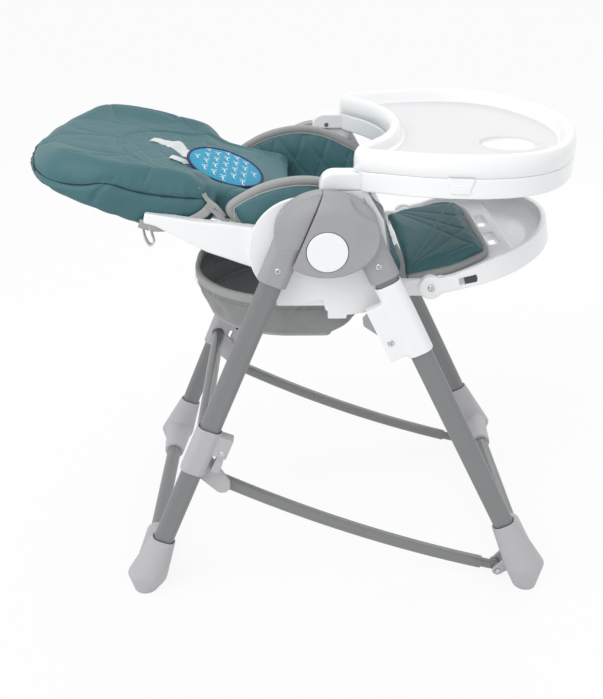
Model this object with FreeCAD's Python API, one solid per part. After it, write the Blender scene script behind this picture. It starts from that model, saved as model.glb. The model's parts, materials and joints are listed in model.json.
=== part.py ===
"""Folding baby high chair: an X-frame with a height-adjustable reclining seat, tray and footrest.

Units are millimetres.  +X points to the front of the chair, +Y to the sitting child's left, +Z up.
The shapes are drawn from the hub centres and moved at the end, so that the origin lies on the floor
under the middle of the chair's bounding box.
"""
import FreeCAD, Part
import os
from math import cos, radians, sin, sqrt

V = FreeCAD.Vector
Y_AXIS = V(0, 1, 0)

# ---- clearances and fits
FIT = 0.05            # radial, between pieces that are pressed or screwed together
RUN = 0.06            # radial, running fit of a pin in its bore
GAP = 0.3             # between pieces of different bodies, and round soft pieces
SLIDE_GAP = 0.4       # round a sleeve that slides on a tube

# ---- frame
HUB_HEIGHT = 688.0    # hub axis above the floor
LEG_PLANE = 260.0     # half the distance between the leg centre planes
LEG_WIDTH = 38.0      # oval leg tube, seen from the side
LEG_THICK = 22.0      # oval leg tube, across the chair
TUBE_WALL = 1.6
FRONT_LEAN = 26.2     # degrees from upright
REAR_LEAN = 22.2
FRONT_OFFSET = 61.0   # leg axis in front of the hub axis
REAR_OFFSET = 59.0    # leg axis behind the hub axis
FRONT_RING = 636.0    # hub axis to the top ring of the front foot, along the leg
REAR_RING = 643.0
SLEEVE_WALL = 4.3     # hub sleeves round the legs
SLEEVE_LENGTH = 90.0  # hub axis to the lower end of the sleeves
CROSS_RADIUS = 15.0   # cross tubes between the feet
STAY_RADIUS = 12.0
STAY_END_RADIUS = 9.0
STAY_PLANE = 232.0    # half the distance between the two side stays
STAY_SAG = 16.0
STAY_FRONT_X = 340.0  # front pin of a side stay, ahead of the hub axis
STAY_FRONT_Z = 20.0
STAY_REAR_X = -185.0  # rear end of a side stay, beside its clamp
STAY_REAR_Z = 226.0
LEG_TOP = 32.0        # upper end of the leg tubes, below the hub axis

# ---- feet and the stays' front lugs
FOOT_RADIUS = 34.0
FOOT_GRIP = 30.0      # how far a leg reaches into its foot
FRONT_HEEL_DROP = 100.0   # top ring of a foot to its heel centre, along the leg
REAR_HEEL_DROP = 82.0
NECK_LENGTH = 70.0
NECK_WALL = 4.0
CROSS_REACH = 236.0   # cross tubes end this far from the centre plane
CROSS_LIFT = 6.0      # cross tubes above the heel centres
CROSS_END_GAP = 0.5
SOCKET_REACH = 34.0   # foot's inboard socket along the cross tube
SOCKET_WALL = 5.0
PAD_RADIUS = 22.0
FRONT_TOE = 10.0      # pad centre ahead of the heel centre
REAR_TOE = -10.0
EAR_THICK = 4.0
LUG_RADIUS = 11.0
LUG_PIN_RADIUS = 4.5
LUG_PIN_PROUD = 1.5
STAY_END_ROOM = 3.0   # round the end of a stay, between the lug's ears
STAY_SLEEVE_END = 0.94    # where the outer tube of a stay ends, as a share of its arc

# ---- hub
HUB_HALF_LENGTH = 84.0
HUB_HALF_HEIGHT = 67.0
HUB_RISE = 22.0       # centre of the cover's ellipse above the hub axis
SEAM_ANGLE = 157.7    # direction from the hub axis to the seam, degrees
SEAM_REACH = 39.9     # seam's distance from the hub axis
HUB_INNER = 238.0     # inner face of the hub
HUB_FACE = 286.0      # outer face of the hub
COVER_THICK = 9.5
BOSS_RADIUS = 32.0
BOLT_RADIUS = 8.0
BOLT_HEAD_RADIUS = 13.0
BOLT_HEAD = 5.0
BOLT_SINK = 6.0       # seat of the bolt's head below the pressed button
BUTTON_RADIUS = 32.5
BUTTON_TRAVEL = 4.0
BUTTON_PROUD = 1.5
BUTTON_ROUND = 1.4
COVER_STEP = 4.0      # the cover's outer step, in depth and inwards
COVER_STEP_IN = 2.5
RIM_WALL = 6.0
RIM_BELOW = 4.0       # the rim ends this far below the hub axis
SEAM_GROOVE = 0.6
FRONT_SLEEVE_TOP = 44.0   # above the hub axis, along the legs
REAR_SLEEVE_TOP = 30.0
SLEEVE_ROUND = 2.0    # extra width of a sleeve at its oval ends
KNUCKLE_RADIUS = 58.0
KNUCKLE_PLATE = 6.2
KNUCKLE_DEPTH = 19.7
SCREW_AT = 62.0       # sleeve screws, along the legs
SCREW_RADIUS = 5.0
SCREW_HEIGHT = 1.8

# ---- clamps on the rear legs
CLAMP_TOP = 385.0     # along the rear leg from the hub axis
CLAMP_LENGTH = 95.0
CLAMP_WALL = 4.5
CLAMP_TUBE_AT = 445.0
CLAMP_TUBE_RADIUS = 12.5
CLAMP_BOSS_RADIUS = 18.0
CLAMP_BOSS_REACH = 1.0
FLAG_REACH = 46.0
FLAG_HEIGHT = 46.0
FLAG_HALF = 11.0
CHEEK_THICK = 8.0
CHEEK_RADIUS = 15.0
CHEEK_CLEAR = 1.5     # the stay's rear end swings clear of the cheek beside it
CHEEK_INNER = STAY_PLANE + STAY_RADIUS + CHEEK_CLEAR
RIVET_RADIUS = 5.0
RIVET_HEIGHT = 1.6
LATCH_PIVOT_AT = 421.0
LATCH_PIVOT_AHEAD = 36.0
LATCH_PIN = 3.0
LATCH_KNOB = 7.0
LATCH_HALF = 6.5
LATCH_LENGTH = 46.0

# ---- seat
SEAT_TRAVEL = 200.0   # along the front legs
PANEL_INNER = 226.0
PANEL_THICK = 8.0
PANEL_DISC_RADIUS = 90.0
PIVOT_X = -36.0       # recline axis, from the hub axis
PIVOT_Z = -17.0
PIN_RADIUS = 8.0
PAN_TOP = 598.0
PAN_HEIGHT = 26.0
PAN_WALL = 4.0
PAN_REAR = -82.0
PAN_FRONT = 126.0
TONGUE_RADIUS = 18.0
TONGUE_THICK = 12.0
CUSHION_TOP = 650.0
CUSHION_HALF_WIDTH = 174.0
WING_THICK = 22.0
SLIDER_TOP = 99.0     # along the front leg from the hub axis
SLIDER_LENGTH = 138.0
SLIDER_WALL = 3.8
LEVER_AT = 195.0      # lever pivot along the front leg
LEVER_X = 24.0
LEVER_INNER = 246.0
LEVER_THICK = 9.0
LEVER_HUB = 9.0
LEVER_SCREW = 3.5
LEVER_SCREW_HEAD = 6.0
SCREW_HEAD_HEIGHT = 2.0
BLOCK_OUTER = 272.0   # outer face of the lever's housing
ARM_TOP = 799.7
ARM_DEPTH = 27.0
ARM_INNER = 200.0
ARM_OUTER = 236.0
ARM_ROUND = 8.0
ARM_POST_DROP = 70.0
BASKET_RIM = 566.0
BASKET_DEPTH = 69.0
BASKET_HALF_WIDTH = 190.0
BASKET_WALL = 3.0
BASKET_TAPER = 22.0   # narrower at the bottom, each side
BASKET_REAR = -234.0
BASKET_FRONT = 82.0
HOOP_RADIUS = 2.5

# ---- backrest, in its own slope frame
BACK_SLOPE = 13.0
BACK_LENGTH = 490.0
BACK_HALF_WIDTH = 235.0
BACK_NARROW = 162.0   # half width of the part between the seat wings
BACK_WIDE_AT = 155.0
COVER_TOP = 50.0      # cover face above the recline axis
BACK_ARM_INNER = 205.0
BACK_ARM_RADIUS = 45.0
PLATE_THICK = 6.0
BRIDGE = (-215.0, -165.0)   # the shell's cross rib that joins the arms
HANDLE_X = -112.0
HANDLE_Z = -17.0
HANDLE_PIN = 3.0
HANDLE_HALF_WIDTH = 56.0
HANDLE_BARREL = 7.0
EAR_AT = 62.0
STRAP_WIDTH = 25.0
STRAP_THICK = 2.0
PAD_HALF_LENGTH = 76.0
PAD_HALF_WIDTH = 60.0
PAD_THICK = 8.0
PAD_AT = (-152.0, -68.0)    # the oval pad lies towards the right wing, turned
PAD_TURN = -44.0

# ---- footrest, in its own slope frame
FOOTREST_SLOPE = 13.0
FOOTREST_X = 180.0    # pivot ahead of the hub axis
FOOTREST_Z = 594.0
FOOTREST_REACH = 242.0
FOOTREST_HALF_WIDTH = 206.0
FOOTREST_WALL = 10.0
FOOTREST_PIN = 5.0
FOOTREST_CHEEK = 21.0
FOOTREST_SIDE = 62.0  # length of the straight sides ahead of the pivot
RIM_LOW = -14.0
RIM_HIGH = 26.0
BOARD_TOP = 4.0
BOARD_LOW = -8.0
BOARD_REAR = 26.0
BOARD_FRONT = 158.0
SLOT_X = 134.0
SLOT_Y = 50.0
SLOT_LENGTH = 62.0
SLOT_WIDTH = 16.0
BUTTON_SLOT = (48.0, 78.0)
BUTTON_SLOT_HALF = 6.0
FOOT_BUTTON_TRAVEL = 8.0
LEGREST_THICK = 20.0
LEGREST_ROUND = 30.0

# ---- tray
TRAY_BOTTOM = 771.0
TRAY_BASE_TOP = 803.0
TRAY_RIM_TOP = 837.0
TRAY_HALF_WIDTH = 282.0
TRAY_REAR = 42.0      # lobe tips ahead of the hub axis
TRAY_FRONT = 440.0
TRAY_WALL = 4.0
TRAY_RIM_WIDTH = 24.0
TRAY_DECK = 3.0
TRAY_FLOOR = 9.0      # thickness of the lift-off tray's floor
CUP_RADIUS = 44.0
CUP_PLACE = (310.0, -104.0)
CUP_FLOOR = 3.0
RAIL_WALL = 4.0
RAIL_FRONT = 250.0

HUB = V(0, 0, HUB_HEIGHT)
PIVOT = V(PIVOT_X, 0, HUB_HEIGHT + PIVOT_Z)
FOOTREST_PIVOT = V(FOOTREST_X, 0, FOOTREST_Z)
STAY_FRONT = V(STAY_FRONT_X, STAY_PLANE, STAY_FRONT_Z)
STAY_REAR = V(STAY_REAR_X, STAY_PLANE, STAY_REAR_Z)
SLEEVE_OUTER = LEG_PLANE + LEG_THICK / 2 + SLEEVE_WALL
SLEEVE_INNER = LEG_PLANE - LEG_THICK / 2 - SLEEVE_WALL
SLEEVE_WIDTH = LEG_WIDTH + 2 * (SLEEVE_WALL + SLEEVE_ROUND)
COVER_LOW = HUB_FACE - COVER_THICK
PANEL_OUTER = PANEL_INNER + PANEL_THICK
TONGUE_OUTER = FOOTREST_HALF_WIDTH - FOOTREST_WALL - GAP
FAR = 400.0           # past every part, for cutting blocks
BACK_ARM_OUTER = PANEL_INNER - GAP


# ---- drawing helpers
def mirrored(shape):
    """The same piece for the other side of the chair."""
    return shape.mirror(V(0, 0, 0), Y_AXIS)


def fused(*shapes):
    body = shapes[0]
    for shape in shapes[1:]:
        body = body.fuse(shape)
    return body.removeSplitter()


def group(*shapes):
    return Part.makeCompound([solid for shape in shapes for solid in shape.Solids])


def box(x0, x1, y0, y1, z0, z1):
    return Part.makeBox(x1 - x0, y1 - y0, z1 - z0, V(x0, y0, z0))


def rod(start, end, radius):
    """A round bar between two points."""
    axis = end - start
    return Part.makeCylinder(radius, axis.Length, start, axis)


def cross_rod(x, z, y0, y1, radius):
    """A round bar along Y."""
    return rod(V(x, y0, z), V(x, y1, z), radius)


def side_face(points, y):
    """A face in a plane of constant Y, from (x, z) points."""
    corners = [V(x, y, z) for x, z in points]
    return Part.Face(Part.makePolygon(corners + corners[:1]))


def side_prism(points, y0, y1):
    return side_face(points, y0).extrude(V(0, y1 - y0, 0))


def plan_prism(wire, z0, z1):
    """A prism on a closed plan wire drawn at Z = 0."""
    face = Part.Face(wire)
    face.translate(V(0, 0, z0))
    return face.extrude(V(0, 0, z1 - z0))


def plan_spline(points):
    """A smooth closed plan wire through (x, y) points."""
    curve = Part.BSplineCurve()
    curve.interpolate(Points=[V(x, y, 0) for x, y in points], PeriodicFlag=True)
    return Part.Wire(curve.toShape())


def inset(points, distance):
    """Closed plan points moved inwards; the points run anticlockwise."""
    moved = []
    count = len(points)
    for index, (x, y) in enumerate(points):
        before = points[index - 1]
        after = points[(index + 1) % count]
        along = V(after[0] - before[0], after[1] - before[1], 0).normalize()
        moved.append((x - along.y * distance, y + along.x * distance))
    return moved


def both_sides(half):
    """A closed outline from its half with y >= 0, which starts and ends on the centre line."""
    return half + [(x, -y) for x, y in reversed(half[1:-1])]


def ellipse_prism(x, z, half_x, half_z, y0, y1):
    curve = Part.Ellipse(V(0, 0, 0), half_x, half_z)
    face = Part.Face(Part.Wire(curve.toShape()))
    face.rotate(V(0, 0, 0), V(1, 0, 0), 90)
    face.translate(V(x, y0, z))
    return face.extrude(V(0, y1 - y0, 0))


def stadium(x, y, width, thick, z0, z1):
    """An upright bar of oval section, centred on (x, y)."""
    half = (width - thick) / 2
    core = box(x - half, x + half, y - thick / 2, y + thick / 2, z0, z1)
    ends = [Part.makeCylinder(thick / 2, z1 - z0, V(x + side * half, y, z0)) for side in (-1, 1)]
    return fused(core, *ends)


def tilted(shape, degrees, centre):
    """Turned about Y at the origin, then carried to its centre."""
    turned = shape.copy()
    turned.rotate(V(0, 0, 0), Y_AXIS, degrees)
    turned.translate(centre)
    return turned


def on_front_leg(shape):
    """From the front leg's frame (hub at the origin, leg along -Z) to the chair."""
    return tilted(shape, -FRONT_LEAN, HUB)


def on_rear_leg(shape):
    return tilted(shape, REAR_LEAN, HUB)


def on_back(shape):
    return tilted(shape, BACK_SLOPE, PIVOT)


def on_footrest(shape):
    return tilted(shape, -FOOTREST_SLOPE, FOOTREST_PIVOT)


def leg_point(lean, offset, along, plane):
    """A point in the chair for a place in a leg's frame; lean is positive for the rear leg."""
    angle = radians(lean)
    x = offset * cos(angle) - along * sin(angle)
    z = -offset * sin(angle) - along * cos(angle)
    return V(x, plane, HUB_HEIGHT + z)


# ---- legs, feet and tubes of the frame

FRONT_HEEL = leg_point(-FRONT_LEAN, FRONT_OFFSET, FRONT_RING + FRONT_HEEL_DROP, LEG_PLANE)
REAR_HEEL = leg_point(REAR_LEAN, -REAR_OFFSET, REAR_RING + REAR_HEEL_DROP, LEG_PLANE)


def leg_space(x, top, bottom, clearance):
    """The room that a leg tube takes, in its own frame, with clearance all round."""
    return stadium(x, LEG_PLANE, LEG_WIDTH + 2 * clearance, LEG_THICK + 2 * clearance, -bottom, -top)


def leg_tube(x, bottom):
    bore = leg_space(x, LEG_TOP, bottom, -TUBE_WALL)
    return leg_space(x, LEG_TOP, bottom, 0).cut(bore)


def front_leg():
    return on_front_leg(leg_tube(FRONT_OFFSET, FRONT_RING + FOOT_GRIP))


def rear_leg():
    return on_rear_leg(leg_tube(-REAR_OFFSET, REAR_RING + FOOT_GRIP))


def foot(place, offset, ring, heel, toe):
    """A shoe with a neck round the leg, a round heel, an inboard socket and a flat pad."""
    neck = place(leg_space(offset, ring, ring + NECK_LENGTH, NECK_WALL))
    round_heel = Part.makeSphere(FOOT_RADIUS, heel)
    cross_z = heel.z + CROSS_LIFT
    socket = cross_rod(heel.x, cross_z, CROSS_REACH - SOCKET_REACH, LEG_PLANE,
                       CROSS_RADIUS + SOCKET_WALL)
    pad = Part.makeCone(PAD_RADIUS, FOOT_RADIUS - 2, heel.z, V(heel.x + toe, LEG_PLANE, 0))
    shoe = fused(neck, round_heel, socket, pad)
    shoe = shoe.cut(place(leg_space(offset, ring - 1, ring + FOOT_GRIP, FIT)))
    return shoe.cut(cross_rod(heel.x, cross_z, 0, CROSS_REACH, CROSS_RADIUS + FIT))


def lug_ears(heel):
    """Two ears that hold the front pin of a side stay."""
    reach = STAY_RADIUS + GAP
    ears = []
    for low_y in (STAY_PLANE - reach - EAR_THICK, STAY_PLANE + reach):
        nose = cross_rod(STAY_FRONT.x, STAY_FRONT.z, low_y, low_y + EAR_THICK, LUG_RADIUS)
        top_z = heel.z + CROSS_LIFT + 8
        web = side_prism([(STAY_FRONT.x, STAY_FRONT.z - LUG_RADIUS), (heel.x, heel.z - 24),
                          (heel.x, top_z), (STAY_FRONT.x + 22, top_z - 4),
                          (STAY_FRONT.x - 4, STAY_FRONT.z + LUG_RADIUS - 1)], low_y, low_y + EAR_THICK)
        ears.append(nose.fuse(web))
    return ears


def front_foot():
    shoe = foot(on_front_leg, FRONT_OFFSET, FRONT_RING, FRONT_HEEL, FRONT_TOE)
    shoe = fused(shoe, *lug_ears(FRONT_HEEL))
    tube = cross_rod(FRONT_HEEL.x, FRONT_HEEL.z + CROSS_LIFT, 0, CROSS_REACH, CROSS_RADIUS + FIT)
    pin = cross_rod(STAY_FRONT.x, STAY_FRONT.z, 0, LEG_PLANE, LUG_PIN_RADIUS + FIT)
    stay_room = cross_rod(STAY_FRONT.x, STAY_FRONT.z, STAY_PLANE - STAY_RADIUS - GAP,
                          STAY_PLANE + STAY_RADIUS + GAP, STAY_RADIUS + STAY_END_ROOM)
    return shoe.cut(tube).cut(pin).cut(stay_room)


def rear_foot():
    return foot(on_rear_leg, -REAR_OFFSET, REAR_RING, REAR_HEEL, REAR_TOE)


def lug_pin():
    half = STAY_RADIUS + GAP + EAR_THICK + LUG_PIN_PROUD
    return cross_rod(STAY_FRONT.x, STAY_FRONT.z, STAY_PLANE - half, STAY_PLANE + half, LUG_PIN_RADIUS)


def cross_tube(x, z, reach, radius):
    outer = cross_rod(x, z, -reach, reach, radius)
    return outer.cut(cross_rod(x, z, -reach, reach, radius - TUBE_WALL))


# ---- hub: the front half carries the cover, the rear half turns under it
def seam_block(side, y0, y1):
    """Everything behind the seam (side -1) or ahead of it (side 1), between two Y planes."""
    reach = SEAM_REACH + side * SEAM_GROOVE / 2
    block = box(0, FAR, y0, y1, -FAR, FAR) if side < 0 else box(-FAR, 0, y0, y1, -FAR, FAR)
    block.translate(V(reach, 0, 0))
    return tilted(block, -SEAM_ANGLE, HUB)


def hub_outline(inset_by, y0, y1):
    return ellipse_prism(0, HUB_HEIGHT + HUB_RISE, HUB_HALF_LENGTH - inset_by, HUB_HALF_HEIGHT - inset_by,
                         y0, y1)


def leg_sleeve(x, top):
    """The sleeve round the upper end of a leg, in the leg's frame."""
    return stadium(x, LEG_PLANE, SLEEVE_WIDTH, SLEEVE_OUTER - SLEEVE_INNER, -SLEEVE_LENGTH, top)


def hub_front():
    """The cover with its rim, the boss on the bolt and the sleeve round the front leg."""
    cover = fused(hub_outline(0, COVER_LOW, HUB_FACE - COVER_STEP),
                  hub_outline(COVER_STEP_IN, COVER_LOW, HUB_FACE))
    rim = hub_outline(0, SLEEVE_INNER, COVER_LOW).cut(hub_outline(RIM_WALL, SLEEVE_INNER, COVER_LOW))
    below = box(-FAR, FAR, SLEEVE_INNER - 1, COVER_LOW, 0, HUB_HEIGHT - RIM_BELOW)
    shell = cover.fuse(rim.cut(below)).cut(seam_block(-1, SLEEVE_INNER - 1, HUB_FACE + 1))
    web = box(FRONT_OFFSET - 20, FRONT_OFFSET + 14, LEG_PLANE, COVER_LOW, -50, FRONT_SLEEVE_TOP - 4)
    sleeve = on_front_leg(fused(leg_sleeve(FRONT_OFFSET, FRONT_SLEEVE_TOP), web))
    boss = cross_rod(0, HUB_HEIGHT, HUB_INNER + KNUCKLE_DEPTH + GAP, COVER_LOW, BOSS_RADIUS)
    body = fused(shell, sleeve, boss)
    body = body.cut(on_front_leg(leg_space(FRONT_OFFSET, LEG_TOP - 0.5, SLEEVE_LENGTH + 1, FIT)))
    body = body.cut(cross_rod(0, HUB_HEIGHT, COVER_LOW - 0.1, HUB_FACE, BUTTON_RADIUS + GAP))
    body = body.cut(cross_rod(0, HUB_HEIGHT, COVER_LOW - BUTTON_TRAVEL - BOLT_SINK, COVER_LOW,
                              BOLT_HEAD_RADIUS + GAP))
    return body.cut(cross_rod(0, HUB_HEIGHT, HUB_INNER, COVER_LOW, BOLT_RADIUS + FIT))


def hub_bolt():
    head_y = COVER_LOW - BUTTON_TRAVEL - BOLT_SINK
    shank = cross_rod(0, HUB_HEIGHT, HUB_INNER + 1, head_y, BOLT_RADIUS)
    return fused(shank, cross_rod(0, HUB_HEIGHT, head_y, head_y + BOLT_HEAD, BOLT_HEAD_RADIUS))


def hub_rear():
    """The lobe behind the seam, the knuckle under the cover and the sleeve round the rear leg."""
    top = COVER_LOW - 0.5
    lobe = hub_outline(0, HUB_INNER, top)
    lobe = lobe.cut(seam_block(1, HUB_INNER - 1, top + 1))
    lobe = lobe.cut(box(-FAR, FAR, HUB_INNER - 1, top + 1, 0, HUB_HEIGHT))
    web = box(-REAR_OFFSET - 18, -REAR_OFFSET + 18, HUB_INNER, LEG_PLANE, -50, REAR_SLEEVE_TOP)
    sleeve = on_rear_leg(fused(leg_sleeve(-REAR_OFFSET, REAR_SLEEVE_TOP), web))
    plate = cross_rod(0, HUB_HEIGHT, HUB_INNER, HUB_INNER + KNUCKLE_PLATE, KNUCKLE_RADIUS)
    boss = cross_rod(0, HUB_HEIGHT, HUB_INNER, HUB_INNER + KNUCKLE_DEPTH, BOSS_RADIUS)
    ring = cross_rod(0, HUB_HEIGHT, HUB_INNER + KNUCKLE_DEPTH, top + 1, BOSS_RADIUS + 1)
    body = fused(lobe, sleeve).cut(ring)
    body = fused(body, plate, boss)
    body = body.cut(on_rear_leg(leg_space(-REAR_OFFSET, LEG_TOP - 0.5, SLEEVE_LENGTH + 1, FIT)))
    return body.cut(cross_rod(0, HUB_HEIGHT, HUB_INNER - 1, top, BOLT_RADIUS + RUN))


def sleeve_screw(place, x):
    start = V(x, SLEEVE_OUTER, -SCREW_AT)
    return place(rod(start, start + V(0, SCREW_HEIGHT, 0), SCREW_RADIUS))


def hub_button():
    low = COVER_LOW + BUTTON_TRAVEL + GAP
    body = cross_rod(0, HUB_HEIGHT, low, HUB_FACE + BUTTON_PROUD, BUTTON_RADIUS)
    outer_edge = [edge for edge in body.Edges if edge.BoundBox.YMin > HUB_FACE + BUTTON_PROUD - 0.1]
    return body.makeFillet(BUTTON_ROUND, outer_edge)


# ---- clamps on the rear legs, their latches and the side stays
def stay_rear_local():
    """The stay's rear pin in the rear leg's frame, as (ahead of the hub axis, along the leg)."""
    angle = radians(REAR_LEAN)
    x = STAY_REAR_X
    z = STAY_REAR_Z - HUB_HEIGHT
    return x * cos(angle) - z * sin(angle), -(x * sin(angle) + z * cos(angle))


def clamp():
    axis = -REAR_OFFSET
    bottom = CLAMP_TOP + CLAMP_LENGTH
    collar = leg_space(axis, CLAMP_TOP, bottom, CLAMP_WALL)
    flag_y = LEG_PLANE
    flag = box(axis + 15, axis + FLAG_REACH, flag_y - FLAG_HALF, flag_y + FLAG_HALF,
               -CLAMP_TOP - FLAG_HEIGHT, -CLAMP_TOP - 4)
    slot = box(axis + LEG_WIDTH / 2 + 3, axis + FLAG_REACH + 1, flag_y - LATCH_HALF - GAP,
               flag_y + LATCH_HALF + GAP, -CLAMP_TOP - FLAG_HEIGHT - 1, -CLAMP_TOP - 16)
    pin_x, pin_s = stay_rear_local()
    cheek = side_prism([(axis - 8, -bottom + 30), (axis + 24, -bottom + 34), (pin_x + 12, -pin_s + 12),
                        (pin_x - 8, -pin_s - 13), (axis, -bottom - 8)],
                       CHEEK_INNER, CHEEK_INNER + CHEEK_THICK)
    nose = cross_rod(pin_x, -pin_s, CHEEK_INNER, CHEEK_INNER + CHEEK_THICK, CHEEK_RADIUS)
    boss = cross_rod(axis, -CLAMP_TUBE_AT, LEG_PLANE - LEG_THICK / 2 - CLAMP_WALL - CLAMP_BOSS_REACH,
                     LEG_PLANE - LEG_THICK / 2, CLAMP_BOSS_RADIUS)
    body = fused(collar, flag.cut(slot), cheek, nose, boss)
    body = body.cut(leg_space(axis, CLAMP_TOP - 1, bottom + 60, FIT))
    body = body.cut(cross_rod(axis, -CLAMP_TUBE_AT, 0, LEG_PLANE - LEG_THICK / 2 - CLAMP_WALL / 2,
                              CLAMP_TUBE_RADIUS + FIT))
    latch_x = axis + LATCH_PIVOT_AHEAD
    body = body.cut(cross_rod(latch_x, -LATCH_PIVOT_AT, LEG_PLANE - 20, LEG_PLANE + 20, LATCH_PIN + FIT))
    return on_rear_leg(body)


def clamp_rivets():
    """The latch's pin and the head over the stay's cheek."""
    axis = -REAR_OFFSET
    pin_x, pin_s = stay_rear_local()
    latch_x = axis + LATCH_PIVOT_AHEAD
    pin = cross_rod(latch_x, -LATCH_PIVOT_AT, LEG_PLANE - FLAG_HALF, LEG_PLANE + FLAG_HALF, LATCH_PIN)
    head_y = LEG_PLANE + FLAG_HALF
    latch_head = cross_rod(latch_x, -LATCH_PIVOT_AT, head_y, head_y + RIVET_HEIGHT, RIVET_RADIUS)
    cheek_y = CHEEK_INNER + CHEEK_THICK
    cheek_head = cross_rod(pin_x, -pin_s, cheek_y, cheek_y + RIVET_HEIGHT, RIVET_RADIUS)
    return on_rear_leg(group(fused(pin, latch_head), cheek_head))


def clamp_latch():
    """A wedge trigger that hangs from the clamp's flag."""
    x = -REAR_OFFSET + LATCH_PIVOT_AHEAD
    z = -LATCH_PIVOT_AT
    low_y = LEG_PLANE - LATCH_HALF
    blade = side_prism([(x - 5, z), (x + 6, z), (x + 10, z - LATCH_LENGTH + 4), (x + 6, z - LATCH_LENGTH),
                        (x - 7, z - LATCH_LENGTH)], low_y, LEG_PLANE + LATCH_HALF)
    knob = cross_rod(x, z, low_y, LEG_PLANE + LATCH_HALF, LATCH_KNOB)
    body = fused(blade, knob)
    bore = cross_rod(x, z, low_y - 1, LEG_PLANE + LATCH_HALF + 1, LATCH_PIN + RUN)
    return on_rear_leg(body.cut(bore))


def clamp_cross_tube():
    place = leg_point(REAR_LEAN, -REAR_OFFSET, CLAMP_TUBE_AT, 0)
    reach = LEG_PLANE - LEG_THICK / 2 - CLAMP_WALL / 2 - CROSS_END_GAP
    return cross_tube(place.x, place.z, reach, CLAMP_TUBE_RADIUS)


def tube_on_arc(arc, radius):
    edge = arc.toShape()
    start = edge.valueAt(edge.FirstParameter)
    tangent = edge.tangentAt(edge.FirstParameter)
    section = Part.Wire(Part.Circle(start, tangent, radius).toShape())
    return Part.Wire(edge).makePipeShell([section], True, False)


def stay():
    """A bowed side stay with a thinner front end that turns on the front foot's pin."""
    chord = STAY_FRONT - STAY_REAR
    down = V(-chord.z, 0, chord.x).normalize() * -1
    middle = STAY_REAR + chord * 0.5 + down * STAY_SAG
    whole = Part.Arc(STAY_REAR, middle, STAY_FRONT).toShape()
    first = whole.FirstParameter
    span = whole.LastParameter - first
    joint = whole.valueAt(first + span * STAY_SLEEVE_END)
    half_way = whole.valueAt(first + span * STAY_SLEEVE_END / 2)
    near_end = whole.valueAt(first + span * (1 + STAY_SLEEVE_END) / 2)
    sleeve = tube_on_arc(Part.Arc(STAY_REAR, half_way, joint), STAY_RADIUS)
    inner = tube_on_arc(Part.Arc(joint, near_end, STAY_FRONT), STAY_END_RADIUS)
    eye = cross_rod(STAY_FRONT.x, STAY_FRONT.z, STAY_PLANE - STAY_RADIUS, STAY_PLANE + STAY_RADIUS,
                    STAY_END_RADIUS)
    tail = Part.makeSphere(STAY_RADIUS, STAY_REAR)
    body = fused(sleeve, inner, eye, tail)
    pin = cross_rod(STAY_FRONT.x, STAY_FRONT.z, STAY_PLANE - 30, STAY_PLANE + 30,
                    LUG_PIN_RADIUS + RUN)
    return body.cut(pin)


# ---- seat: side panels with the recline discs, pan, sliders and levers
def seat_side():
    """The side panel: a round disc over the recline joint and an apron down to the slider."""
    disc = cross_rod(PIVOT.x, PIVOT.z, PANEL_INNER, PANEL_OUTER, PANEL_DISC_RADIUS)
    apron = side_prism([(-8, 602), (0, 566), (40, 558), (126, 570), (138, 588), (104, 652), (92, 722),
                        (62, ARM_TOP - ARM_DEPTH), (-12, ARM_TOP - ARM_DEPTH), (-60, 740), (-70, 640)],
                       PANEL_INNER, PANEL_OUTER)
    hook = box(4, 36, PANEL_INNER, PANEL_OUTER, 551, 564)
    return fused(disc, apron, hook)


def seat_pan():
    """A shallow shell between the side panels, with a tongue on each side for the footrest."""
    low = PAN_TOP - PAN_HEIGHT
    shell = box(PAN_REAR, PAN_FRONT, -PANEL_INNER, PANEL_INNER, low, PAN_TOP)
    shell = shell.cut(box(PAN_REAR + PAN_WALL, PAN_FRONT - PAN_WALL, PAN_WALL - PANEL_INNER,
                          PANEL_INNER - PAN_WALL, low - 1, PAN_TOP - PAN_WALL))
    tongues = []
    for side in (-1, 1):
        y0 = side * TONGUE_OUTER
        y1 = side * (TONGUE_OUTER - TONGUE_THICK)
        arm = box(PAN_FRONT - PAN_WALL, FOOTREST_X, min(y0, y1), max(y0, y1), low + 3, FOOTREST_Z + 10)
        tongues.append(arm)
        tongues.append(cross_rod(FOOTREST_X, FOOTREST_Z, min(y0, y1), max(y0, y1), TONGUE_RADIUS))
    body = fused(shell, *tongues)
    return body.cut(cross_rod(FOOTREST_X, FOOTREST_Z, -PANEL_INNER, PANEL_INNER, FOOTREST_PIN + FIT))


def slider():
    """The sleeve on the front leg, its web to the side panel and the lever's housing."""
    low = -SLIDER_TOP - SLIDER_LENGTH
    sleeve = leg_space(FRONT_OFFSET, SLIDER_TOP, -low, SLIDE_GAP + SLIDER_WALL)
    web = box(FRONT_OFFSET - 12, FRONT_OFFSET + 12, PANEL_OUTER, LEG_PLANE - 12, low + 30, -SLIDER_TOP - 6)
    block = box(LEVER_X - 14, FRONT_OFFSET - 14, LEVER_INNER + LEVER_THICK + GAP, BLOCK_OUTER,
                low + 8, -SLIDER_TOP - 27)
    body = fused(sleeve, web, block)
    body = body.cut(leg_space(FRONT_OFFSET, SLIDER_TOP - 1, -low + 1, SLIDE_GAP))
    bore = rod(V(LEVER_X, LEVER_INNER, -LEVER_AT), V(LEVER_X, BLOCK_OUTER + 1, -LEVER_AT), LEVER_SCREW + FIT)
    body = body.cut(bore)
    return on_front_leg(body)


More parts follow.
